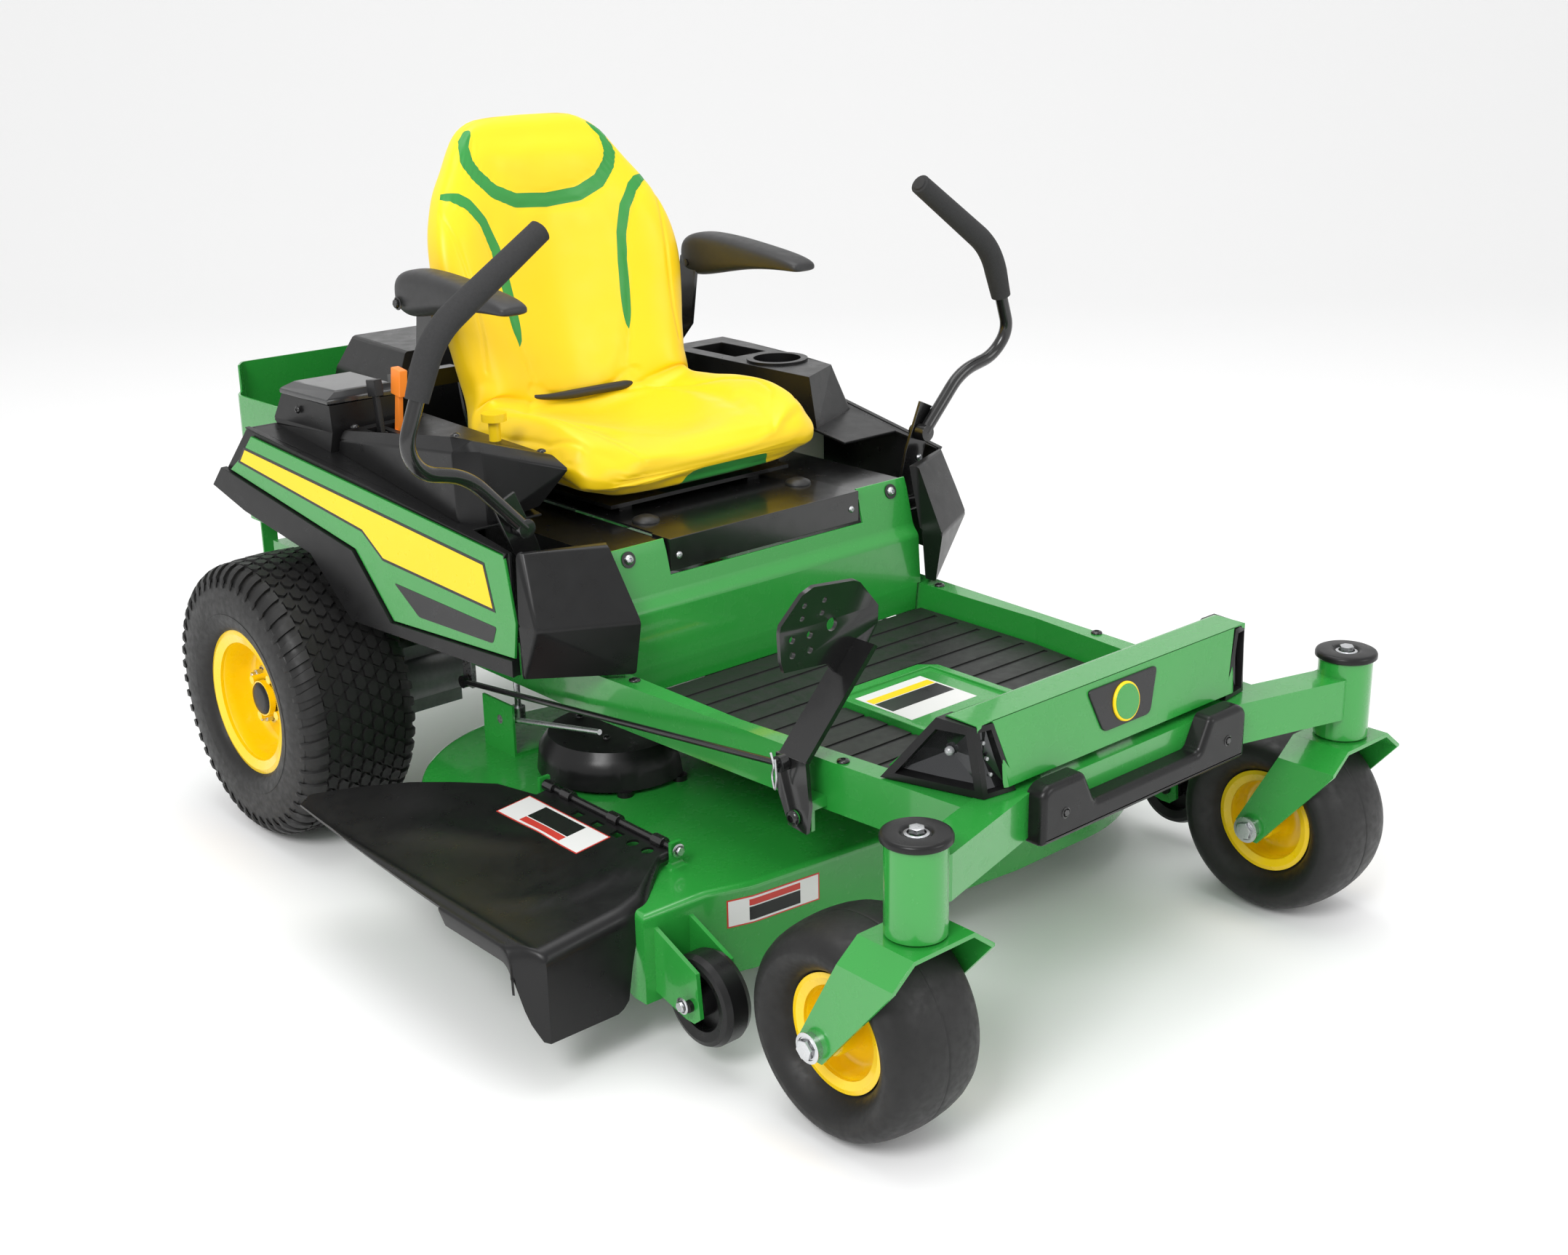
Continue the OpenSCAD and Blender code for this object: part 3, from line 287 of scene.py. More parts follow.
def finish_piece(name, bm, body, slot, material=None, replaces=(), soft=40.0, weighted=True):
    """Turns a bmesh into a piece that rides on a body, smooth except at edges sharper than soft."""
    bmesh.ops.recalc_face_normals(bm, faces=bm.faces)
    for face in bm.faces:
        face.smooth = True
    for edge in bm.edges:
        if len(edge.link_faces) == 2:
            edge.smooth = edge.calc_face_angle(0.0) < math.radians(soft)
    piece = new_object(name, bm)
    dress(piece, material or SLOTS[slot])
    if weighted:
        normals = piece.modifiers.new("normals", "WEIGHTED_NORMAL")
        normals.keep_sharp = True
    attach(piece, body)
    if replaces:
        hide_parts(*replaces)
    return piece


def round_edges(bm, width, segments=2, low=30.0, high=180.0, longer=0.0, where=None, clamp=False):
    """Rounds the edges whose faces meet at an angle between low and high."""
    chosen = []
    for edge in bm.edges:
        if len(edge.link_faces) != 2:
            continue
        angle = math.degrees(edge.calc_face_angle(0.0))
        if low < angle < high and edge.calc_length() >= longer * MM:
            if where is None or where(edge):
                chosen.append(edge)
    if chosen:
        bmesh.ops.bevel(bm, geom=chosen, offset=width * MM, offset_type="OFFSET", segments=segments,
                        profile=0.5,
                        affect="EDGES", clamp_overlap=clamp)


def from_node(node):
    """The CAD node's surface as a bmesh with its flat faces joined up."""
    bm = bmesh.new()
    bm.from_mesh(frame["nodes"][node].data)
    bmesh.ops.remove_doubles(bm, verts=bm.verts, dist=0.00002)
    bmesh.ops.dissolve_limit(bm, angle_limit=math.radians(0.6), verts=bm.verts, edges=bm.edges)
    return bm


CLAMPED = ("left_lever_carrier", "right_lever_carrier", "lift_shaft", "seat_pedestal", "engine_block",
           "transmissions",
           "right_caster_fork", "left_caster_fork", "lift_pedal", "seat_frame", "pulley_covers",
           "corner_covers",
           "right_console", "storage_box")


def refine(node, width=1.2, segments=2, fold=0.0, longer=12.0):
    """Replaces a CAD node by the same shape with rounded edges; fold is the radius of long shallow bends."""
    bm = from_node(node)
    if fold:
        round_edges(bm, fold, 3, low=12.0, high=62.0, longer=45.0)
    round_edges(bm, width, segments, low=62.0 if fold else 34.0, longer=longer, clamp=node in CLAMPED)
    return finish_piece(node + "_finished", bm, body_of_node[node], node_slot[node], replaces=(node,))


def lathe(bm, centre, axis, profile, sides=64):
    """Turns a profile of (radius, height) pairs in millimetres about an axis."""
    axis = Vector(axis).normalized()
    side = axis.orthogonal().normalized()
    up = axis.cross(side)
    rings = []
    for radius, height in profile:
        base = centre + axis * (height * MM)
        if radius < 1e-6:
            rings.append([bm.verts.new(base)])
            continue
        ring = []
        for k in range(sides):
            a = 2 * math.pi * k / sides
            ring.append(bm.verts.new(base + (side * math.cos(a) + up * math.sin(a)) * (radius * MM)))
        rings.append(ring)
    for first, second in zip(rings, rings[1:]):
        for k in range(sides):
            n = (k + 1) % sides
            if len(first) == 1 and len(second) == 1:
                continue
            if len(first) == 1:
                bm.faces.new((first[0], second[k], second[n]))
            elif len(second) == 1:
                bm.faces.new((first[k], first[n], second[0]))
            else:
                bm.faces.new((first[k], first[n], second[n], second[k]))


def offset_outline(points, distance):
    """Moves the sides of a flat outline inwards by a distance, or outwards when it is negative."""
    area = sum(a[0] * b[1] - b[0] * a[1] for a, b in zip(points, points[1:] + points[:1]))
    turn = 1.0 if area > 0 else -1.0
    moved = []
    count = len(points)
    for k in range(count):
        before = Vector(points[k - 1])
        here = Vector(points[k])
        after = Vector(points[(k + 1) % count])
        d0 = (here - before).normalized()
        d1 = (after - here).normalized()
        n0 = Vector((-d0.y, d0.x)) * turn
        n1 = Vector((-d1.y, d1.x)) * turn
        middle = (n0 + n1).normalized()
        reach = distance / max(0.35, middle.dot(n1))
        moved.append((here.x + middle.x * reach, here.y + middle.y * reach))
    return moved


def soft_prism(bm, points, place, low, high, r):
    """Extrudes a flat outline and rounds its front rim with radius r."""
    steps = [(low, 0.0)]
    steps += [(high - r * (1 - math.sin(a)), r * (1 - math.cos(a))) for a in (0.0, 0.5, 1.0, 1.5708)]
    levels = []
    for w, shrink in steps:
        outline = offset_outline(points, shrink) if shrink > 1e-4 else points
        levels.append([bm.verts.new(place(u, v, w)) for u, v in outline])
    for first, second in zip(levels, levels[1:]):
        bridge(bm, first, second)
    bm.faces.new(list(reversed(levels[0])))
    bm.faces.new(levels[-1])


def round_corners(points, r, steps=4):
    """A flat outline with its corners rounded."""
    result = []
    count = len(points)
    for k in range(count):
        here = Vector(points[k])
        before = Vector(points[k - 1])
        after = Vector(points[(k + 1) % count])
        reach = min(r, (here - before).length * 0.45, (after - here).length * 0.45)
        start = here + (before - here).normalized() * reach
        end = here + (after - here).normalized() * reach
        for j in range(steps + 1):
            t = j / steps
            q = start * (1 - t) ** 2 + here * (2 * t * (1 - t)) + end * t ** 2
            result.append((q.x, q.y))
    return result


def skin(bm, rings):
    """Joins rings of points, in millimetres, into a surface with closed ends."""
    levels = [[bm.verts.new(at(*p)) for p in ring] for ring in rings]
    for first, second in zip(levels, levels[1:]):
        bridge(bm, first, second)
    bm.faces.new(list(reversed(levels[0])))
    bm.faces.new(levels[-1])


def prism(bm, points, place, low, high):
    """Extrudes a flat outline; place turns (u, v, w) in millimetres into a point."""
    bottom = [bm.verts.new(place(u, v, low)) for u, v in points]
    top = [bm.verts.new(place(u, v, high)) for u, v in points]
    bm.faces.new(list(reversed(bottom)))
    bm.faces.new(top)
    bridge(bm, bottom, top)


def rounded_path(points, bend):
    """A path in millimetres whose corners are rounded over a distance bend."""
    points = [Vector(p) for p in points]
    path = [points[0]]
    for before, corner, after in zip(points, points[1:], points[2:]):
        reach = min(bend, (corner - before).length * 0.48, (after - corner).length * 0.48)
        start = corner + (before - corner).normalized() * reach
        end = corner + (after - corner).normalized() * reach
        for k in range(9):
            t = k / 8
            path.append(start * (1 - t) ** 2 + corner * (2 * t * (1 - t)) + end * t ** 2)
    path.append(points[-1])
    return path


def tube(bm, points, radius, bend=25.0, sides=20):
    """A round tube along a path; radius is a number or a function of the share of the path."""
    path = rounded_path(points, bend)
    lengths = [0.0]
    for a, b in zip(path, path[1:]):
        lengths.append(lengths[-1] + (b - a).length)
    normal = None
    rings = []
    for k, point in enumerate(path):
        a = path[max(k - 1, 0)]
        b = path[min(k + 1, len(path) - 1)]
        direction = (b - a).normalized()
        if normal is None:
            normal = direction.orthogonal().normalized()
        normal = (normal - direction * normal.dot(direction)).normalized()
        other = direction.cross(normal)
        size = radius(lengths[k] / lengths[-1]) if callable(radius) else radius
        rings.append([
            point + (normal * math.cos(2 * math.pi * j / sides)
                     + other * math.sin(2 * math.pi * j / sides)) * size
            for j in range(sides)
        ])
    skin(bm, rings)


# ---- bolts and small hardware
bolt_kits = {}


def kit(body, slot):
    if (body, slot) not in bolt_kits:
        bolt_kits[(body, slot)] = bmesh.new()
    return bolt_kits[(body, slot)]


def hex_bolt(body, point, axis, radius=6.0, height=5.0, slot="bare_steel"):
    """A flanged hexagon head standing on a surface."""
    bm = kit(body, slot)
    centre = at(*point)
    lathe(bm, centre, axis, [(0, 0), (radius * 1.5, 0), (radius * 1.5, 1.0), (radius * 1.15, 1.8)], 24)
    lathe(bm, centre, axis, [(radius, 1.2), (radius, height - 0.8), (radius * 0.88, height), (0, height)],
          6)


def round_screw(body, point, axis, radius=6.0, height=3.0, slot="black_metal"):
    """A domed screw head with a sunken drive."""
    bm = kit(body, slot)
    lathe(bm, at(*point), axis, [
        (0, -0.5), (radius, -0.5), (radius, 0.4), (radius * 0.92, height * 0.6), (radius * 0.6, height),
        (radius * 0.42, height), (radius * 0.36, height * 0.3), (0, height * 0.3)
    ], 20)


# ---- wheels
def rear_wheel(side, name):
    """Turf tyre with hexagon blocks and angled shoulder lugs, and its dished rim."""
    body = name + "_wheel"
    centre = at(side * REAR_X, 0, REAR_Z)
    outward = Vector((side, 0, 0))
    radius = 228.3
    bm = bmesh.new()
    half = [(101.9, 78), (112, 80.5), (117.5, 83), (120.5, 89), (126, 94.5), (135, 98.5), (148, 101),
            (149, 100.2),
            (160, 101.3), (176, 100.3), (190, 98), (199, 95.5), (200, 94), (208, 90.5), (214.5, 84),
            (218.5, 76),
            (221, 62), (222.3, 40), (223, 16)]
    lathe(bm, centre, (1, 0, 0), [(r, -w) for r, w in half] + [(r, w) for r, w in reversed(half)], 144)
    lathe(bm, centre, (1, 0, 0),
          [(101.9, -78), (122, -76), (140, -90), (205, -82), (214, 0), (205, 82), (140, 90),
                                  (122, 76), (101.9, 78)], 72)

    def on_tread(s, v, r):
        a = s / 228.0
        return centre + Vector((v * MM, math.cos(a) * r * MM, math.sin(a) * r * MM))

    rows = 50
    pitch = 2 * math.pi * 228.0 / rows
    for column, v0 in enumerate((-57.6, -38.4, -19.2, 0, 19.2, 38.4, 57.6)):
        crown = radius - 5.0 * (abs(v0) / 75) ** 2
        for row in range(rows):
            s0 = pitch * (row + (0.5 if column % 2 else 0.0))
            w, l = 8.2, 12.2
            outline = [(-l, 0), (-l * 0.52, -w), (l * 0.52, -w), (l, 0), (l * 0.52, w), (-l * 0.52, w)]
            top = [bm.verts.new(on_tread(s0 + u, v0 + v, crown - 0.3 * abs(v) / w)) for u, v in outline]
            low = [bm.verts.new(on_tread(s0 + u * 1.1, v0 + v * 1.1, crown - 8)) for u, v in outline]
            bm.faces.new(top)
            bridge(bm, low, top)
    for end in (-1, 1):
        for row in range(rows):
            s0 = pitch * (row + 0.25)
            steps = [(68, 225.0, 0, 9), (79, 222.0, 3, 9), (88, 216.5, 6, 8.5), (96, 208.0, 9, 7),
                     (99.5, 198.0, 10, 4)]
            rings = []
            for v, r, shift, w in steps:
                rings.append([
                    on_tread(s0 + shift - w, end * v, r - 7), on_tread(s0 + shift - w * 0.85, end * v, r),
                    on_tread(s0 + shift + w * 0.85, end * v, r), on_tread(s0 + shift + w, end * v, r - 7)
                ])
            levels = [[bm.verts.new(p) for p in ring] for ring in rings]
            for first, second in zip(levels, levels[1:]):
                bridge(bm, first, second, wrap=False)
            bm.faces.new(levels[0])
            bm.faces.new(levels[-1])
    finish_piece(name + "_turf_tyre", bm, body, "tyre_rubber", replaces=(name + "_rear_tyre",), soft=32.0)

    bm = bmesh.new()
    outer = [(0, 40), (30, 40), (44, 38), (52, 34), (60, 27), (74, 24), (86, 25), (92, 30), (94.5, 40),
             (95.5, 60),
             (97, 76), (101, 82), (108, 84.5), (114, 86.5), (118.5, 86), (119, 84), (116, 82.5), (108, 81),
             (101.6, 77)]
    inner = [(101.6, 20), (93, 10), (93, -30), (101.6, -60), (101.6, -78), (108, -81), (116, -82.5),
             (119, -84),
             (118.5, -86), (114, -86.5), (106, -84.5), (98, -76), (96, -50), (88, -20), (88, 12), (84, 19),
             (70, 18),
             (56, 22), (30, 30), (0, 32)]
    lathe(bm, centre, outward, outer + inner, 96)
    finish_piece(name + "_wheel_rim", bm, body, "yellow_paint", soft=50.0)
    bm = bmesh.new()
    lathe(bm, centre, outward,
          [(0, 66), (18, 66), (25, 64.5), (28.5, 60), (29.5, 44), (32, 41), (32, 38), (0, 38)], 48)
    finish_piece(name + "_hub_cap", bm, body, "black_plastic", soft=50.0)
    for k in range(4):
        a = math.radians(30 + 90 * k)
        y = 50.8 * math.cos(a)
        z = REAR_Z + 50.8 * math.sin(a)
        hex_bolt(body, (side * (REAR_X + 33), y, z), outward, 8.5, 14)
        lathe(kit(body, "bare_steel"), at(side * (REAR_X + 33), y, z), outward,
              [(0, 13), (5, 13), (5, 20), (4.2, 21), (0, 21)], 16)
    valve = kit(body, "black_metal")
    a = math.radians(205 if side < 0 else 25)
    stem = at(side * (REAR_X + 25), 78 * math.cos(a), REAR_Z + 78 * math.sin(a))
    lathe(valve, stem, Vector((side, 0, 0)),
          [(0, 0), (9, 0), (8, 6), (5.5, 9), (4.5, 28), (3.6, 29), (3.6, 38), (0, 38)], 20)


def caster_wheel(side, name):
    """Smooth caster tyre with its rim."""
    body = name + "_caster_wheel"
    centre = at(side * CASTER_X, CASTER_Y, CASTER_Z)
    half = [(63.8, 40), (74, 42), (77.5, 45), (81, 52), (86, 59), (93, 66), (101, 71.5), (108, 73.6),
            (110, 73.0),
            (116, 72.6), (123, 68.5), (129, 61), (133.5, 50), (136.6, 36), (138.6, 18), (139.3, 3),
            (138.4, 1)]
    bm = bmesh.new()
    lathe(bm, centre, (1, 0, 0), [(r, -w) for r, w in half] + [(r, w) for r, w in reversed(half)], 120)
    lathe(bm, centre, (1, 0, 0),
          [(63.8, -40), (84, -36), (104, -66), (130, 0), (104, 66), (84, 36), (63.8, 40)], 60)
    finish_piece(name + "_smooth_tyre", bm, body, "tyre_rubber", replaces=(name + "_caster_tyre",),
                 soft=50.0)
    bm = bmesh.new()
    half = [(22, 59), (24, 57), (25, 30), (28, 18), (36, 12), (50, 10), (56, 14), (58, 24), (58.5, 36),
            (62, 43),
            (68, 46.5), (74, 47.5), (76, 46), (75, 44), (69, 42.5), (63.5, 39)]
    lathe(bm, centre, (1, 0, 0), [(r, w) for r, w in half] + [(r, -w) for r, w in reversed(half)], 80)
    finish_piece(name + "_caster_dish", bm, body, "yellow_paint", soft=50.0)


for wheel_side, wheel_name in ((-1, "right"), (1, "left")):
    rear_wheel(wheel_side, wheel_name)
    caster_wheel(wheel_side, wheel_name)


# ---- levers
def lever_set(side, name):
    """Bent lever tube with its foam grip, and the slotted bracket's bolts."""
    body = name + "_steering"
    path = [(-400, -562, 600), (-486, -562, 689), (-560, -567, 707), (-587, -576, 748), (-565, -578, 808),
            (-536, -580, 890), (-362, -586, 1008)]
    path = [(-side * x, y, z) for x, y, z in path]
    bm = bmesh.new()
    tube(bm, path, 10.6, bend=32.0, sides=24)
    lathe(bm, at(side * 400, -572, 600), (0, 1, 0), [(0, 0), (13, 0), (14, 1), (14, 19), (13, 20), (0, 20)],
          32)
    lathe(bm, at(side * 400, -552, 600), (0, 1, 0), [(6, 0), (6, 8), (10, 8), (10, 16), (0, 16)], 24)
    finish_piece(name + "_lever_tube", bm, body, "black_metal", replaces=(name + "_lever",), soft=50.0)
    bm = bmesh.new()
    low, bend, top = Vector(path[4]), Vector(path[5]), Vector(path[6])

    def size(t):
        edge = min(t, 1 - t)
        return 18.4 - 2.2 * max(0.0, 1 - edge / 0.012) ** 2

    tube(bm, [low, bend, top], size, bend=60.0, sides=36)
    end = at(*top)
    over = (top - bend).normalized()
    lathe(bm, end, over,
          [(15.5, -1), (15.5, 0.6), (14.5, 1.6), (10.6, 1.8), (10.4, 3.4), (9.4, 4.2), (0, 4.4)], 32)
    finish_piece(name + "_foam_grip", bm, body, "black_rubber", material=foam, replaces=(name + "_grip",),
                 soft=60.0)
    carrier = name + "_carrier"
    for x, z in ((-432, 632), (-400, 556)):
        round_screw(carrier, (-side * x, -551, z), (0, -1, 0), 6, 4, "bare_steel")


lever_set(-1, "right")
lever_set(1, "left")


# ---- armrests
def armrest(side, name):
    """Padded armrest: a thick rear end over the pivot, tapering to a drooping tip."""
    body = name + "_rest"
    stations = [
        (-108, 846, 882, 22), (-112, 838, 894, 27), (-128, 830, 902, 30), (-152, 831, 906, 31),
        (-190, 838, 905.5, 31), (-235, 847, 903, 31), (-290, 856, 897, 30.5), (-345, 860, 890, 29.5),
        (-378, 861, 884, 28), (-397, 861, 878, 25), (-404, 863, 873, 20)
    ]
    rings = []
    for y, low, high, half in stations:
        ring = []
        mid = high - min(26.0, (high - low) * 0.62)
        for k in range(28):
            a = 2 * math.pi * k / 28
            c, s = math.cos(a), math.sin(a)
            x = half * math.copysign(abs(c) ** 0.62, c)
            if s >= 0:
                z = mid + (high - mid) * abs(s) ** 0.7
            else:
                z = mid - (mid - low) * abs(s) ** 0.55
                x *= 1 - 0.16 * abs(s) ** 1.5
            ring.append((side * 285 + x, y, z))
        rings.append(ring)
    bm = bmesh.new()
    skin(bm, rings)
    piece = finish_piece(name + "_padded_rest", bm, body, "black_foam", replaces=(name + "_armrest",),
                         soft=80.0,
                         weighted=False)
    smooth = piece.modifiers.new("smooth", "SUBSURF")
    smooth.levels = 2
    smooth.render_levels = 2
    hex_bolt(body, (side * 316.5, -129, 853), (side, 0, 0), 7, 6, "black_metal")


armrest(-1, "right")
armrest(1, "left")


# ---- seat
def smoothstep(a, b, x):
    t = min(1.0, max(0.0, (x - a) / (b - a)))
    return t * t * (3 - 2 * t)


def along(table, x):
    """Smooth interpolation in a list of (x, value) pairs."""
    if x <= table[0][0]:
        return table[0][1]
    for k, ((x0, v0), (x1, v1)) in enumerate(zip(table, table[1:])):
        if x <= x1:
            before = table[k - 1] if k else (x0, v0)
            after = table[k + 2] if k + 2 < len(table) else (x1, v1)
            m0 = (v1 - before[1]) / (x1 - before[0]) * (x1 - x0)
            m1 = (after[1] - v0) / (after[0] - x0) * (x1 - x0)
            t = (x - x0) / (x1 - x0)
            return ((2 * t ** 3 - 3 * t ** 2 + 1) * v0 + (t ** 3 - 2 * t ** 2 + t) * m0
                    + (3 * t ** 2 - 2 * t ** 3) * v1 + (t ** 3 - t ** 2) * m1)
    return table[-1][1]


def line_distance(point, line):
    """Distance from a flat point to a polyline."""
    best = 1e9
    for (x0, y0), (x1, y1) in zip(line, line[1:]):
        dx, dy = x1 - x0, y1 - y0
        t = ((point[0] - x0) * dx + (point[1] - y0) * dy) / (dx * dx + dy * dy)
        t = min(1.0, max(0.0, t))
        best = min(best, math.hypot(point[0] - x0 - t * dx, point[1] - y0 - t * dy))
    return best


# Middle line of the seat in side view: place on the line, then Y, Z and half thickness
SEAT_LINE = [
    (0.00, -497, 607, 6), (0.015, -494, 608, 18), (0.04, -484, 610, 28), (0.09, -455, 612, 36),
    (0.18, -395, 610, 36),
    (0.29, -320, 606, 33), (0.40, -240, 605, 33), (0.48, -180, 610, 37), (0.54, -134, 632, 46),
    (0.60, -103, 678, 54), (0.66, -86, 732, 54), (0.73, -71, 797, 52), (0.80, -59, 862, 50),
    (0.87, -50, 930, 46),
    (0.93, -42, 992, 42), (0.965, -35, 1040, 38), (0.985, -29, 1078, 32), (0.995, -26, 1104, 22),
    (1.0, -23, 1116, 8)
]
SEAT_WIDTH = [
    (0.0, 184), (0.015, 208), (0.04, 230), (0.09, 245), (0.18, 250), (0.29, 250), (0.40, 247), (0.48, 236),
    (0.54, 221), (0.60, 214), (0.66, 220), (0.73, 230), (0.80, 236), (0.87, 229), (0.93, 203), (0.965, 168),
    (0.985, 142), (0.995, 114), (1.0, 80)
]
SEAT_WRAP = [
    (0.0, 4), (0.04, 16), (0.09, 36), (0.18, 62), (0.29, 72), (0.40, 64), (0.50, 56), (0.6, 58), (0.8, 62),
    (0.9, 44),
    (0.96, 22), (1.0, 6)
]


def seat_section(t):
    """Ring of the seat at a place on its middle line: thin in the middle, with sides that wrap forwards."""
    line_y = [(p[0], p[1]) for p in SEAT_LINE]
    line_z = [(p[0], p[2]) for p in SEAT_LINE]
    y = along(line_y, t)
    z = along(line_z, t)
    h = along([(p[0], p[3]) for p in SEAT_LINE], t)
    ahead = min(1.0, t + 0.01)
    behind = max(0.0, t - 0.01)
    run = Vector((along(line_y, ahead) - along(line_y, behind),
                  along(line_z, ahead) - along(line_z, behind)))
    run.normalize()
    front = Vector((-run.y, run.x))
    w = along(SEAT_WIDTH, t)
    wings = smoothstep(0.03, 0.12, t) * (1 - smoothstep(0.86, 0.95, t))
    wrap = along(SEAT_WRAP, t)
    backrest = smoothstep(0.46, 0.6, t)
    ring = []
    count = 112
    for k in range(count):
        a = 2 * math.pi * k / count
        c, s = math.cos(a), math.sin(a)
        x = w * math.copysign(abs(c) ** 0.72, c)
        share = abs(x) / w
        bowl = share ** 1.6 * (1 - 0.6 * smoothstep(0.84, 1.0, share))
        if s >= 0:
            d = h * abs(s) ** 0.62
            d += wings * h * 0.24 * math.exp(-((share - 0.80) / 0.17) ** 2) * abs(s) ** 0.5
            d -= wings * h * 0.14 * math.exp(-(share / 0.5) ** 2)
            d += wrap * (backrest * share ** 1.5 + (1 - backrest) * bowl)
        else:
            d = -h * abs(s) ** 0.5
            d += wrap * (backrest * share ** 1.5 + (1 - backrest) * 0.4 * smoothstep(0.72, 1.0, share))
            x *= 1 - 0.14 * (1 - backrest) * abs(s) ** 1.5
        ring.append((x, y + front.x * d, z + front.y * d))
    return ring


def build_seat():
    stops = [0.0, 0.004, 0.010, 0.018]
    stops += [0.03 + 0.955 * k / 84 for k in range(85)]
    stops += [0.991, 0.996, 1.0]
    bm = bmesh.new()
    skin(bm, [seat_section(t) for t in stops])
    bmesh.ops.recalc_face_normals(bm, faces=bm.faces)
    return new_object("seat_skin", bm)


# Seams, as lines in front view (X, Z) on the back and in plan (X, Y) on the cushion
BACK_SEAMS = [
    [(127, 1092), (124, 1070), (130, 1048), (120, 1028), (98, 1014), (58, 996), (0, 990)],
    [(146, 1092), (152, 1060), (143, 1030), (112, 996), (64, 972), (0, 966)],
    [(206, 1004), (170, 980), (152, 954), (137, 915), (128, 868), (124, 826), (112, 762), (97, 706),
     (98, 680)],
    [(216, 985), (204, 930), (196, 860), (192, 790), (196, 735)],
]
CUSHION_SEAMS = [
    [(106, -168), (150, -215), (190, -300), (205, -368), (192, -420), (160, -456), (130, -493)],
    [(106, -168), (60, -163), (0, -161)],
    [(236, -190), (242, -300), (238, -400), (214, -460)],
]


def seam_depth(x, y, z, normal):
    """How close a point is to a seam, from 0 to 1."""
    depth = 0.0
    if normal.y < -0.25 and z > 645:
        for line in BACK_SEAMS:
            depth = max(depth, math.exp(-(line_distance((abs(x), z), line) / 2.6) ** 2))
    if normal.z > 0.2 and z < 700:
        for line in CUSHION_SEAMS:
            depth = max(depth, math.exp(-(line_distance((abs(x), y), line) / 2.6) ** 2))
    return depth


def stripe_value(x, y, z, normal):
    """Above zero on the green stripes of the seat."""
    side = abs(x)
    if z > 690 and normal.y < -0.1:
        band_line = [(0, 979), (62, 984), (104, 1002), (130, 1028), (141, 1048), (137, 1074), (118, 1094)]
        band = (11.5 if z < 1050 else 11.5 - 8 * (z - 1050) / 46) - line_distance((side, z), band_line)
        wing = [(205, 1006), (188, 1003), (163, 988), (141, 959), (126, 916), (119, 870), (115, 829),
                (109, 760)]
        reach = along([(752, 0.0), (790, 8.0), (860, 9.5), (940, 9.0), (1010, 9.0)], z)
        return max(band, reach - line_distance((side, z), wing) if z < 1006 else -20.0)
    if z < 615 and y < -430:
        return min(x + 62 - (z - 575) * 0.9, 128 - (z - 575) * 0.4 - x, 604 - z, z - 560)
    return -20.0


def inflate(piece, held, cap, pressure=4.0):
    """Lets air pressure swell a skin as cloth for twenty frames; held points stay where they are."""
    start = [v.co.copy() for v in piece.data.vertices]
    group = piece.vertex_groups.new(name="held")
    for index, weight in held.items():
        group.add([index], weight, "REPLACE")
    cloth = piece.modifiers.new("swell", "CLOTH")
    cloth.settings.quality = 6
    cloth.settings.mass = 0.3
    cloth.settings.tension_stiffness = 30.0
    cloth.settings.compression_stiffness = 30.0
    cloth.settings.shear_stiffness = 10.0
    cloth.settings.bending_stiffness = 2.0
    cloth.settings.use_pressure = True
    cloth.settings.uniform_pressure_force = pressure
    cloth.settings.vertex_group_mass = "held"
    cloth.settings.effector_weights.gravity = 0.0
    cloth.point_cache.frame_start = 1
    cloth.point_cache.frame_end = 20
    for number in range(1, 21):
        bpy.context.scene.frame_set(number)
    depsgraph = bpy.context.evaluated_depsgraph_get()
    swollen = piece.evaluated_get(depsgraph).to_mesh()
    ends = [v.co.copy() for v in swollen.vertices]
    piece.evaluated_get(depsgraph).to_mesh_clear()
    piece.modifiers.clear()
    piece.vertex_groups.clear()
    bpy.context.scene.frame_set(1)
    for vertex, a, b in zip(piece.data.vertices, start, ends):
        move = b - a
        if move.length > cap * MM:
            move = move.normalized() * (cap * MM)
        vertex.co = a + move


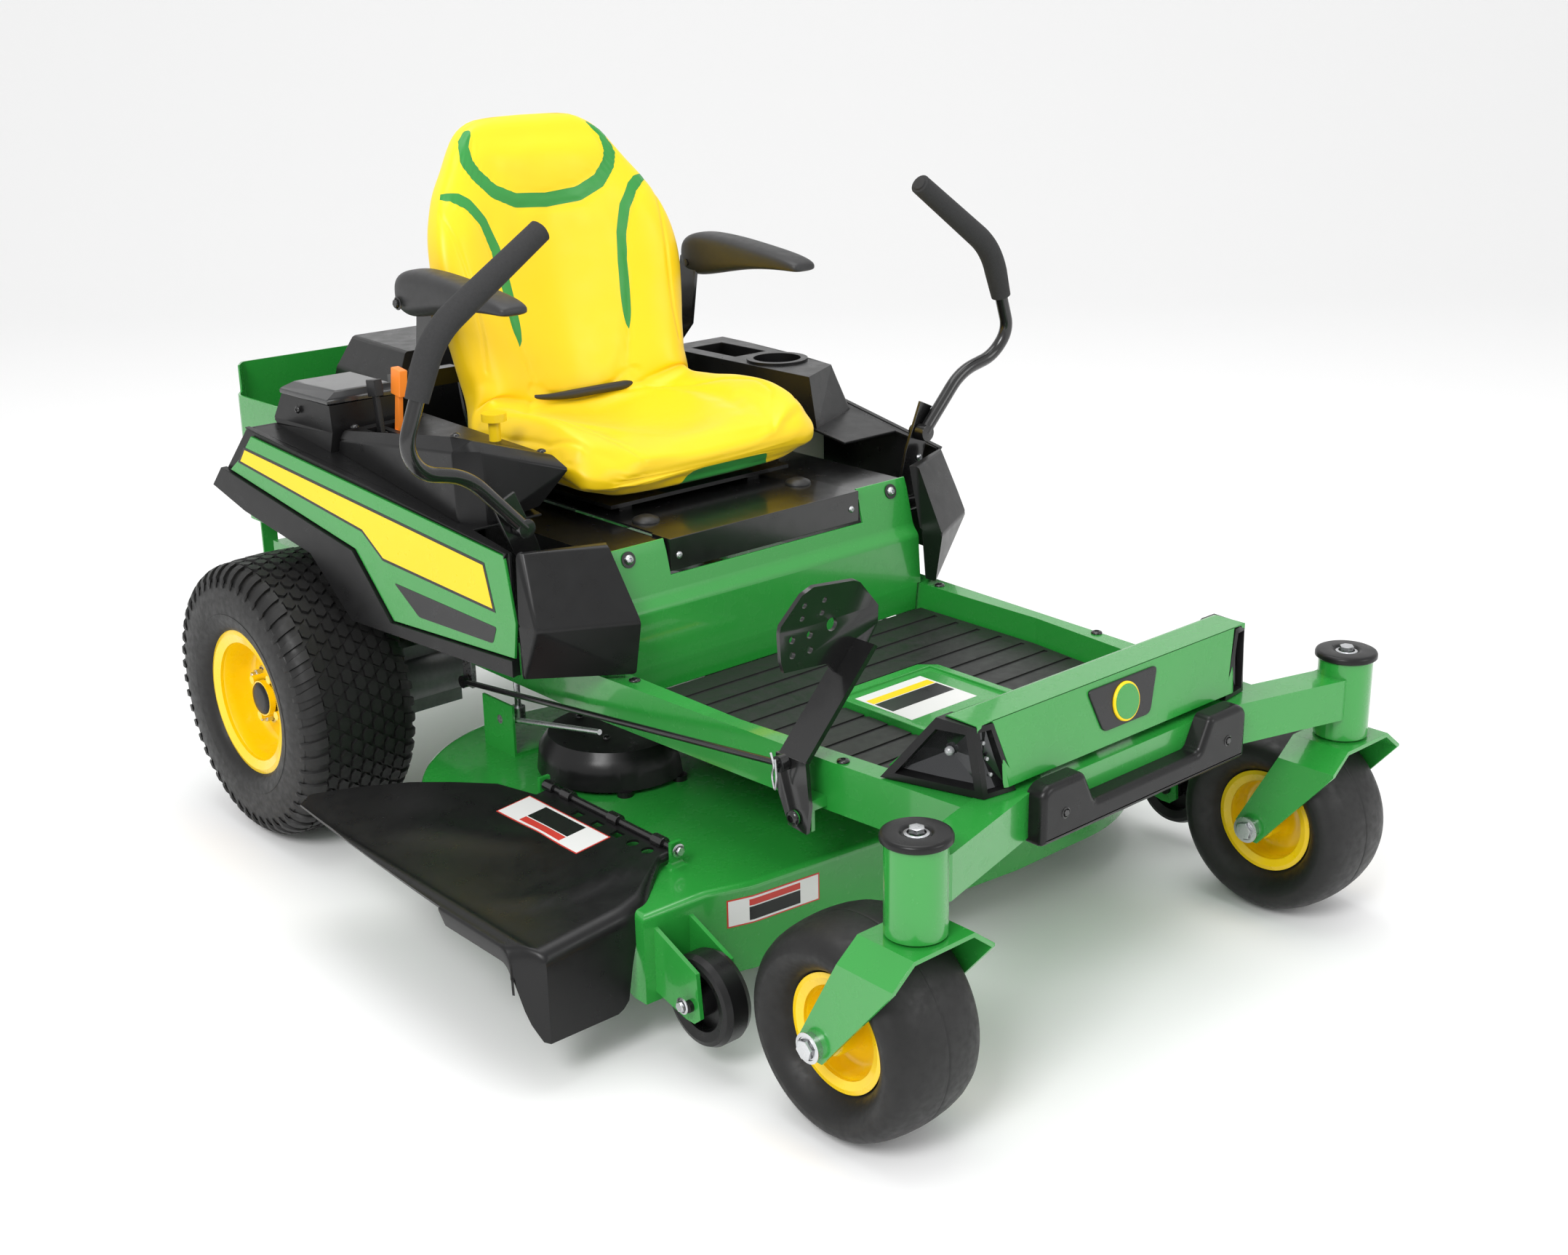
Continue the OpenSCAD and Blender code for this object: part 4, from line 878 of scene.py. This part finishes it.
def finish_seat():
    piece = build_seat()
    slit = bmesh.new()
    tube(slit, [(-126, -170, 684), (-80, -170, 675), (-30, -165, 671), (40, -166, 671), (84, -169, 671),
                (108, -168, 674)],
         lambda t: 1.0 + 6.6 * min(1.0, t * 2.2, (1 - t) * 9.0) ** 0.7, bend=30.0, sides=16)
    finish_piece("seat_slit", slit, "seat", "black_foam", material=pad_vinyl)
    held = {}
    for vertex in piece.data.vertices:
        x, y, z = (vertex.co - ORIGIN) / MM
        if seam_depth(x, y, z, vertex.normal) > 0.3 or z < 585 or vertex.normal.y > 0.7:
            held[vertex.index] = 1.0
    inflate(piece, held, 5.0)
    smooth = piece.modifiers.new("smooth", "SUBSURF")
    smooth.levels = 1
    smooth.render_levels = 1
    bpy.context.view_layer.objects.active = piece
    depsgraph = bpy.context.evaluated_depsgraph_get()
    mesh = bpy.data.meshes.new_from_object(piece.evaluated_get(depsgraph))
    piece.modifiers.clear()
    old = piece.data
    piece.data = mesh
    bpy.data.meshes.remove(old)
    stripe = mesh.attributes.new("stripe", "FLOAT", "POINT")
    normals = [Vector(v.normal) for v in mesh.vertices]
    for vertex, normal in zip(mesh.vertices, normals):
        x = (vertex.co.x - ORIGIN.x) / MM
        y = (vertex.co.y - ORIGIN.y) / MM
        z = vertex.co.z / MM
        stripe.data[vertex.index].value = stripe_value(x, y, z, normal)
        depth = seam_depth(x, y, z, normal)
        if depth > 0.02:
            vertex.co -= normal * (2.4 * MM * depth)
    mesh.shade_smooth()
    dress(piece, seat_vinyl)
    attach(piece, "seat")
    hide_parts("seat_cushion")


finish_seat()


# ---- front end
def flat_inset(points, margin):
    """A flat polygon in space, shrunk within its own plane by a margin in millimetres."""
    points = [Vector(p) for p in points]
    across = (points[1] - points[0]).normalized()
    normal = across.cross(points[2] - points[0]).normalized()
    other = normal.cross(across)
    flat = [((p - points[0]).dot(across), (p - points[0]).dot(other)) for p in points]
    shrunk = offset_outline(flat, margin)
    return [points[0] + across * u + other * v for u, v in shrunk], normal


def headlight_pair():
    """Lamp housings with a faceted side window and a narrow front window."""
    frame_mesh = bmesh.new()
    glass_mesh = bmesh.new()
    lamp_mesh = bmesh.new()
    for side in (-1, 1):
        low = [(-303, -1168, 384), (-262, -1303, 384), (-212, -1310, 384), (-225, -1168, 384)]
        high = [(-278, -1238, 476), (-272, -1292, 476), (-243, -1299, 476), (-250, -1238, 476)]
        low = [(-side * x, y, z) for x, y, z in low]
        high = [(-side * x, y, z) for x, y, z in high]
        middle = Vector((side * 255, -1250, 425))
        corners = [frame_mesh.verts.new(at(*p)) for p in low + high]
        for face in ((0, 3, 2, 1), (4, 5, 6, 7), (0, 4, 7, 3), (3, 7, 6, 2)):
            frame_mesh.faces.new([corners[k] for k in face])
        for face, margin, depth, bulbs in (((0, 1, 5, 4), 10.0, 13.0, 1), ((1, 2, 6, 5), 6.5, 8.0, 3)):
            outer = [Vector((low + high)[k]) for k in face]
            inner, normal = flat_inset(outer, margin)
            if normal.dot(sum(outer, Vector()) / 4 - middle) < 0:
                normal = -normal
            proud = [p + normal * 1.2 for p in inner]
            sunk = [p - normal * depth for p in flat_inset(inner, 2.0)[0]]
            ring_a = [corners[k] for k in face]
            ring_b = [frame_mesh.verts.new(at(*p)) for p in proud]
            ring_c = [frame_mesh.verts.new(at(*p)) for p in sunk]
            bridge(frame_mesh, ring_a, ring_b)
            bridge(frame_mesh, ring_b, ring_c)
            centre = sum(sunk, Vector()) / 4
            deep = centre - normal * 9.0
            rim = [glass_mesh.verts.new(at(*(p + normal * 0.3))) for p in sunk]
            half = [glass_mesh.verts.new(at(*((sunk[k] + sunk[(k + 1) % 4]) / 2
                                              + normal * (1.5 - 3.0 * (k % 2)))))
                    for k in range(4)]
            tip = glass_mesh.verts.new(at(*deep))
            for k in range(4):
                glass_mesh.faces.new((rim[k], half[k], tip))
                glass_mesh.faces.new((half[k], rim[(k + 1) % 4], tip))
            for j in range(bulbs):
                t = 0.5 if bulbs == 1 else 0.22 + 0.28 * j
                low_mid = (sunk[0] + sunk[1]) / 2
                high_mid = (sunk[2] + sunk[3]) / 2
                spot = low_mid.lerp(high_mid, t) - normal * (4.0 if bulbs == 1 else 1.0)
                size = 6.0 if bulbs == 1 else 2.4
                lathe(lamp_mesh, at(*spot), normal, [(size, -3), (size, 1), (size * 0.8, size * 0.45),
                                                     (size * 0.45, size * 0.72), (0, size * 0.8)], 24)
    round_edges(frame_mesh, 2.2, 2, low=34.0, longer=20.0, clamp=True)
    finish_piece("lamp_housings", frame_mesh, "chassis", "black_plastic", replaces=("headlights",),
                 soft=36.0)
    finish_piece("lamp_reflectors", glass_mesh, "chassis", "black_metal", material=reflector, soft=5.0,
                 weighted=False)
    finish_piece("lamp_lenses", lamp_mesh, "chassis", "grey_plastic", material=lens)


reflector = surface("reflector", (0.045, 0.046, 0.048), (0.075, 0.077, 0.080), (0.10, 0.18), 300, 0.02,
                    metallic=0.8)
headlight_pair()


def on_hood(u, v, w):
    """A place on the hood's front face: across, up the face and out of it."""
    return at(u, -1311 + 0.159 * v - 0.987 * w, 392 + 0.987 * v + 0.159 * w)


def hood_badge():
    plate = round_corners([(-47, 20), (47, 20), (70, 79), (-70, 79)], 9)
    bm = bmesh.new()
    soft_prism(bm, plate, on_hood, -1.0, 3.2, 1.6)
    finish_piece("badge_plate", bm, "chassis", "black_plastic", material=label_black)
    disc = [(26 * math.cos(2 * math.pi * k / 48),
             49 + 26 * math.sin(2 * math.pi * k / 48)) for k in range(48)]
    bm = bmesh.new()
    soft_prism(bm, disc, on_hood, 1.0, 6.4, 2.2)
    finish_piece("badge_ring", bm, "chassis", "yellow_paint", material=label_yellow)
    disc = [(23 * math.cos(2 * math.pi * k / 48),
             49 + 23 * math.sin(2 * math.pi * k / 48)) for k in range(48)]
    bm = bmesh.new()
    soft_prism(bm, disc, on_hood, 5.0, 7.2, 0.7)
    finish_piece("badge_disc", bm, "chassis", "green_paint", material=green_paint)


hood_badge()


def bumper():
    outline = [(-207, 316), (207, 316), (207, 384), (194, 394), (128, 394), (106, 350), (-106, 350),
               (-128, 394),
               (-194, 394), (-207, 384)]
    outline = round_corners(outline, 7, 3)
    bm = bmesh.new()
    soft_prism(bm, outline, lambda u, v, w: at(u, -1322.3 - w, v), 0.0, 27.7, 9.0)
    finish_piece("bumper_block", bm, "chassis", "black_plastic", replaces=("front_bumper",))
    for side in (-1, 1):
        hex_bolt("chassis", (side * 165, -1349.5, 352), (0, -1, 0), 5, 3, "black_metal")


bumper()


def caster_trim(side, name):
    """Black cap with its bolt on the caster tube, and the axle's bolt and nut."""
    body = name + "_caster"
    top = bmesh.new()
    lathe(top, at(side * CASTER_X, CASTER_PIN_Y, 0), (0, 0, 1), [
        (0, 412.5), (17, 412.5), (18.5, 414.5), (22, 415.5), (38, 415.5), (41.5, 413.8), (42.8, 411),
        (42.8, 406.5),
        (41, 404.9), (38.2, 404.9)
    ], 64)
    finish_piece(name + "_caster_cap", top, body, "black_plastic")
    hex_bolt(body, (side * CASTER_X, CASTER_PIN_Y, 412.4), (0, 0, 1), 10.0, 8.5)
    for away in (-1, 1):
        washer = kit(body, "bare_steel")
        lathe(washer, at(side * CASTER_X + away * 84, CASTER_Y, CASTER_Z), (away, 0, 0),
              [(0, 0), (17, 0), (17, 8.6), (15.6, 9.6), (0, 9.6)],
              40)
        hex_bolt(body, (side * CASTER_X + away * 93, CASTER_Y, CASTER_Z), (away, 0, 0), 13.0, 8)


caster_trim(-1, "right")
caster_trim(1, "left")


# ---- side stripes
def on_side(side):
    turn = math.radians(6)

    def place(y, z, w):
        x = -492 - w * math.cos(turn) - y * math.sin(turn)
        along_y = -w * math.sin(turn) + y * math.cos(turn)
        return at(-side * x, along_y, z)

    return place


def side_stripes():
    stripe = [(58, 622), (73, 602), (-240, 546), (-287, 510), (-536, 484), (-520, 545)]
    sticker = [(-309, 476), (-542, 457), (-532, 431), (-364, 434)]
    black = bmesh.new()
    yellow = bmesh.new()
    for side in (-1, 1):
        place = on_side(side)
        prism(black, offset_outline(stripe, -4.5), place, 4.0, 5.45)
        prism(yellow, stripe, place, 5.0, 5.75)
        prism(black, round_corners(sticker, 5), place, 4.0, 5.5)
    finish_piece("stripe_border", black, "chassis", "black_plastic", material=label_black, soft=20.0)
    finish_piece("stripe_yellow", yellow, "chassis", "yellow_paint", material=label_yellow, soft=20.0)


side_stripes()


# ---- screws and bolts seen on the body
def body_bolts():
    for side in (-1, 1):
        washer = kit("chassis", "black_metal")
        slope = Vector((0, -0.97, 0.242))
        lathe(washer, at(side * 264, -619.0, 536), slope, [(0, 0), (12, 0), (12, 1.6), (0, 1.6)], 32)
        round_screw("chassis", (side * 264, -620.4, 536.3), slope, 7.5, 5, "bare_steel")
        round_screw("seat_base", (side * 174, -623, 525), (0, -1, 0), 5.5, 3, "bare_steel")
    for x, y in ((-311, -685), (-300, -1099), (311, -685), (310, -1009)):
        round_screw("chassis", (x, y, 383), (0, 0, 1), 8.5, 3)
    for x, y in ((-275, -496), (-297, -592), (275, -823), (297, -727)):
        round_screw("deck", (x, y, 263.3), (0, 0, 1), 6, 4)


body_bolts()


# ---- body panels
for node_name, width, fold in (
    ("floor_hatch", 1.6, 0.0), ("front_panel", 1.0, 5.0), ("front_hood", 0.9, 5.0),
    ("corner_covers", 4.0, 4.0), ("right_fender", 1.0, 3.0), ("left_fender", 1.2, 4.0),
    ("side_panels", 1.2, 0.0), ("right_console", 3.0, 3.0), ("storage_box", 2.0, 2.0),
    ("storage_lid", 2.0, 3.0), ("rear_cover", 1.5, 6.0), ("engine_guard", 1.0, 8.0), ("seat_plate", 1.2, 0.0),
    ("lift_pedal", 1.0, 0.0), ("right_lever_carrier", 1.0, 0.0), ("left_lever_carrier", 1.0, 0.0),
    ("seat_pedestal", 0.8, 0.0), ("engine_block", 1.5, 0.0), ("transmissions", 3.0, 0.0),
    ("fuel_tank", 8.0, 8.0),
    ("right_caster_fork", 1.2, 0.0), ("left_caster_fork", 1.2, 0.0),
    ("throttle_lever", 1.5, 0.0), ("choke_lever", 1.5, 0.0),
    ("lift_shaft", 1.0, 0.0), ("pulley_covers", 1.0, 0.0),
):
    refine(node_name, width, 2, fold)


def refine_deck():
    bm = from_node("deck_shell")
    top = 200.0 * MM

    def outer_edge(edge):
        if any(abs(v.co.z - top) > 0.0002 for v in edge.verts):
            return False
        middle = (edge.verts[0].co + edge.verts[1].co) / 2
        x = (middle.x - ORIGIN.x) / MM
        y = (middle.y - ORIGIN.y) / MM
        for cx, cy in ((-262, -563), (262, -757)):
            if math.hypot(x - cx, y - cy) < 90:
                return False
        return not (abs(x) > 300 and y > -530 and y < -340 and abs(abs(x) - 330) < 40)

    round_edges(bm, 9.5, 4, low=60.0, where=outer_edge)
    finish_piece("deck_shell_finished", bm, "deck", "green_paint", replaces=("deck_shell",), soft=36.0)


refine_deck()


# ---- discharge chute
def chute():
    """One moulded sheet that slopes outwards, rolls over at its front and ends in a hanging lip."""
    rear = [(0, -604), (24, -604), (40, -530), (80, -470), (120, -420), (180, -368), (236, -333),
            (262, -350), (276, -520), (286, -760)]
    front = [(0, -880), (24, -880), (60, -904), (100, -931), (135, -940), (262, -940), (286, -900)]
    wall = [(0, 6), (24, 6), (60, 12), (100, 24), (128, 60), (134, 120), (152, 137), (268, 125), (277, 96),
            (286, 40)]

    def straight(table, x):
        for (x0, v0), (x1, v1) in zip(table, table[1:]):
            if x <= x1:
                return v0 + (v1 - v0) * (x - x0) / (x1 - x0)
        return table[-1][1]

    def top(x, y):
        z = 221.6 - x * math.tan(math.radians(5.7))
        ridge = line_distance((x, y), [(60, -872), (150, -868), (235, -820)])
        z += 4.5 * math.exp(-(ridge / 11) ** 2) * smoothstep(30, 90, x) * (1 - smoothstep(200, 262, x))
        hump = line_distance((x, y), [(120, -700), (190, -560)])
        z += 5.0 * math.exp(-(hump / 34) ** 2)
        edge = 286 - x
        z += 2.2 * math.exp(-((edge - 15) / 4.5) ** 2)
        return z

    bm = bmesh.new()
    columns = [0, 6, 12, 18, 24, 32, 40] + [40 + 9 * k for k in range(1, 24)] + [255, 262, 267, 271, 275,
                                                                                 279, 283, 286]
    grid = []
    for x in columns:
        y0, y1 = straight(rear, x), straight(front, x)
        line = [y0 + (y1 - y0) * k / 30 for k in range(31)]
        points = [(x, y, top(x, y)) for y in line]
        drop = straight(wall, x)
        base = points[-1][2]
        roll = min(21.0, drop)
        for k in range(1, 7):
            a = math.radians(15 * k)
            points.append((x, y1 - roll * math.sin(a), base - roll * (1 - math.cos(a))))
        for k in range(1, 9):
            points.append((x, y1 - roll - 0.4 * k / 8, base - roll - (drop - roll) * k / 8))
        grid.append(points)
    last = grid[-1]
    for out, down in ((1.6, 1.2), (2.6, 4.0), (2.8, 12.0), (2.4, 21.0)):
        grid.append([(x + out, y, z - down * min(1.0, (k + 1) / 4)) for k, (x, y, z) in enumerate(last)])
    rows = [[bm.verts.new(at(HINGE_X - x, y, z)) for x, y, z in points] for points in grid]
    for first, second in zip(rows, rows[1:]):
        bridge(bm, first, second, wrap=False)
    bmesh.ops.recalc_face_normals(bm, faces=bm.faces)
    if sum(f.normal.z for f in bm.faces) < 0:
        bmesh.ops.reverse_faces(bm, faces=bm.faces)
    sheet = new_object("chute_sheet", bm)
    solid = sheet.modifiers.new("thickness", "SOLIDIFY")
    solid.thickness = 3.6 * MM
    solid.offset = -1.0
    tools = bmesh.new()
    for x, y in ((22, -858), (22, -826)):
        lathe(tools, at(HINGE_X - x, y, 195), (0, 0, 1), [(0, 0), (9, 0), (9, 40), (0, 40)], 24)
    for y in (-790, -745, -700):
        prism(tools, [(14, y - 9), (28, y - 9), (28, y + 9), (14, y + 9)], lambda u, v,
              w: at(HINGE_X - u, v, w), 195, 235)
    bmesh.ops.recalc_face_normals(tools, faces=tools.faces)
    cutter = new_object("chute_cutter", tools)
    cut = sheet.modifiers.new("holes", "BOOLEAN")
    cut.object = cutter
    cut.operation = "DIFFERENCE"
    cut.solver = "EXACT"
    bpy.context.view_layer.update()
    depsgraph = bpy.context.evaluated_depsgraph_get()
    done = bmesh.new()
    done.from_mesh(sheet.evaluated_get(depsgraph).to_mesh())
    bpy.data.objects.remove(sheet)
    bpy.data.objects.remove(cutter)
    finish_piece("moulded_chute", done, "chute", "black_plastic", replaces=("discharge_chute",), soft=50.0)
    rod = bmesh.new()
    lathe(rod, at(HINGE_X, -898, HINGE_Z), (0, 1, 0),
          [(0, 0), (4.4, 0), (5, 0.8), (5, 315), (4.4, 316), (0, 316)], 24)
    for y in (-868, -770, -660, -618):
        lathe(rod, at(HINGE_X, y, HINGE_Z), (0, 1, 0),
              [(5, 0), (8.5, 0), (9, 1), (9, 21), (8.5, 22), (5, 22)], 24)
    finish_piece("chute_hinge", rod, "chute", "black_metal")
    hex_bolt("chute", (HINGE_X, -897, HINGE_Z), (0, -1, 0), 6.5, 6)


chute()


# ---- seat shell, pins and small fittings
def seat_shell():
    """The pan and rails under the seat, with the back shell drawn in behind the cushion."""
    bm = from_node("seat_frame")
    for vertex in bm.verts:
        x, y, z = (vertex.co - ORIGIN) / MM
        if z > 700 and abs(x) < 250:
            share = smoothstep(700, 1030, z)
            vertex.co = at(x * (1 - 0.42 * share), y - 10 * share, z - 20 * share)
    round_edges(bm, 1.5, 2, low=34.0, longer=12.0, clamp=True)
    finish_piece("seat_shell", bm, "seat", "black_metal", replaces=("seat_frame",))


seat_shell()


def small_fittings():
    pin = bmesh.new()
    tube(pin, [(-366, -1044, 388), (-369, -1050, 366), (-368, -1045, 344), (-367, -1038, 366),
               (-369, -1046, 380),
               (-368, -1038, 396)], 1.6, bend=8.0, sides=10)
    finish_piece("rod_hairpin", pin, "pedal", "bare_steel")
    round_screw("pedal", (-353.2, -1062, 309), (-1, 0, 0), 11, 5)
    round_screw("chassis", (-445, -20, 690), (-1, 0, 0), 6, 3)
    for side in (-1, 1):
        hex_bolt("deck", (side * 531, -1048, 104), (side, 0, 0), 7.5, 6)
    for x, y, z in ((-415, -425, 711), (-290, -455, 671), (-412, -135, 676)):
        round_screw("chassis", (x, y, z), (0, 0, 1), 7, 3.5)
    for x in (-154, 154):
        bump_mesh = kit("seat_base", "black_rubber")
        lathe(bump_mesh, at(x, -521, 552), (0, 0, 1),
              [(0, 0), (21, 0), (21, 2), (19, 4.5), (11, 8), (8, 8.6), (0, 8.6)], 40)


small_fittings()


# ---- plain stickers
def sticker(name, target, body, start, look, layers):
    """Thin plain patches laid on a surface; start gives a point above it and look the way down to it."""
    bpy.context.view_layer.update()
    look = Vector(look).normalized()
    for number, (material, slot, u0, u1, v0, v1, lift) in enumerate(layers):
        bm = bmesh.new()
        outer = []
        inner = []
        for j in range(9):
            upper = []
            lower = []
            for k in range(13):
                point = Vector(start(u0 + (u1 - u0) * k / 12, v0 + (v1 - v0) * j / 8)) * MM + ORIGIN
                hit, place = target.ray_cast(point, look)[:2]
                if not hit:
                    place = point
                upper.append(bm.verts.new(place - look * (lift * MM)))
                lower.append(bm.verts.new(place + look * (0.2 * MM)))
            outer.append(upper)
            inner.append(lower)
        for j in range(8):
            for k in range(12):
                bm.faces.new((outer[j][k], outer[j][k + 1], outer[j + 1][k + 1], outer[j + 1][k]))
                bm.faces.new((inner[j][k], inner[j + 1][k], inner[j + 1][k + 1], inner[j][k + 1]))
        ring_a = outer[0] + [r[-1] for r in outer[1:]] + outer[-1][-2::-1] + [r[0] for r in outer[-2:0:-1]]
        ring_b = inner[0] + [r[-1] for r in inner[1:]] + inner[-1][-2::-1] + [r[0] for r in inner[-2:0:-1]]
        for k in range(len(ring_a)):
            n = (k + 1) % len(ring_a)
            bm.faces.new((ring_a[k], ring_b[k], ring_b[n], ring_a[n]))
        bmesh.ops.recalc_face_normals(bm, faces=bm.faces)
        finish_piece(f"{name}_{number + 1}", bm, body, slot, material=material, soft=30.0, weighted=False)


def stickers():
    red = surface("label_red", (0.52, 0.040, 0.030), (0.58, 0.050, 0.036), (0.30, 0.42), 300, 0.03)
    chute_sheet = bpy.data.objects["moulded_chute"]
    deck = bpy.data.objects["deck_shell_finished"]
    hatch = bpy.data.objects["floor_hatch_finished"]
    sticker("chute_sticker", chute_sheet, "chute", lambda u, v: (-442 - v, -600 - u, 260), (0, 0, -1), [
        (red, "orange_plastic", 0, 190, 0, 58, 0.4), (label_white, "grey_plastic", 2, 188, 2, 56, 0.6),
        (label_black, "black_plastic", 48, 142, 6, 38, 0.8), (red, "orange_plastic", 48, 142, 40, 52, 0.8)])
    sticker("deck_sticker", deck, "deck", lambda u, v: (-412 + 0.987 * u, -1034 - 0.163 * u, 142 + v),
            (0.163, 0.987, 0), [
        (red, "orange_plastic", 0, 146, 0, 40, 0.4), (label_white, "grey_plastic", 2, 144, 2, 38, 0.6),
        (label_black, "black_plastic", 32, 114, 5, 24, 0.8), (red, "orange_plastic", 32, 114, 26, 35, 0.8)])
    sticker("hatch_sticker", hatch, body_of_node["floor_hatch"], lambda u, v: (-80 + u, -1005 + v, 380),
            (0, 0, -1), [
        (label_white, "grey_plastic", 0, 132, 0, 112, 0.4),
        (label_yellow, "yellow_paint", 4, 128, 78, 94, 0.6),
        (label_black, "black_plastic", 4, 128, 40, 76, 0.6)])


stickers()


# ---- stage and light
def stage():
    bm = bmesh.new()
    span = 14.0
    profile = [(-span, 0.0), (5.0, 0.0)]
    for k in range(1, 13):
        a = math.radians(90 * k / 12)
        profile.append((5.0 + 4.0 * math.sin(a), 4.0 - 4.0 * math.cos(a)))
    profile.append((9.0, 12.0))
    turn = math.radians(-41.5)
    rows = []
    for along_floor, z in profile:
        row = []
        for across in (-span, span):
            x = across * math.cos(turn) - along_floor * math.sin(turn)
            y = across * math.sin(turn) + along_floor * math.cos(turn)
            row.append(bm.verts.new((x, y, z - 0.0005)))
        rows.append(row)
    for first, second in zip(rows, rows[1:]):
        bm.faces.new((first[0], first[1], second[1], second[0]))
    for face in bm.faces:
        face.smooth = True
    floor = new_object("studio_floor", bm)
    material, _, shader = new_material("studio_white")
    shader.inputs["Base Color"].default_value = (0.93, 0.93, 0.93, 1.0)
    shader.inputs["Roughness"].default_value = 0.9
    floor.data.materials.append(material)
    world = bpy.data.worlds.new("studio")
    bpy.context.scene.world = world
    world.use_nodes = True
    world.node_tree.nodes["Background"].inputs["Color"].default_value = (1.0, 1.0, 1.0, 1.0)
    world.node_tree.nodes["Background"].inputs["Strength"].default_value = 0.84


def area_light(name, place, target, size, power):
    data = bpy.data.lights.new(name, "AREA")
    data.shape = "RECTANGLE"
    data.size = size[0]
    data.size_y = size[1]
    data.energy = power
    lamp = bpy.data.objects.new(name, data)
    bpy.context.scene.collection.objects.link(lamp)
    lamp.location = Vector(place)
    direction = Vector(target) - Vector(place)
    lamp.rotation_euler = direction.to_track_quat("-Z", "Y").to_euler()


stage()
area_light("key_light", (-4.2, -2.2, 4.2), (0.0, 0.0, 0.5), (1.9, 1.9), 165.0)
area_light("front_light", (1.8, -4.8, 2.6), (0.1, -0.2, 0.5), (2.2, 2.2), 45.0)
area_light("top_light", (0.2, 0.4, 4.6), (0.0, 0.0, 0.4), (3.0, 3.0), 70.0)

for (kit_body, kit_slot), kit_mesh in bolt_kits.items():
    finish_piece(f"hardware_{kit_body}_{kit_slot}", kit_mesh, kit_body, kit_slot, soft=45.0)
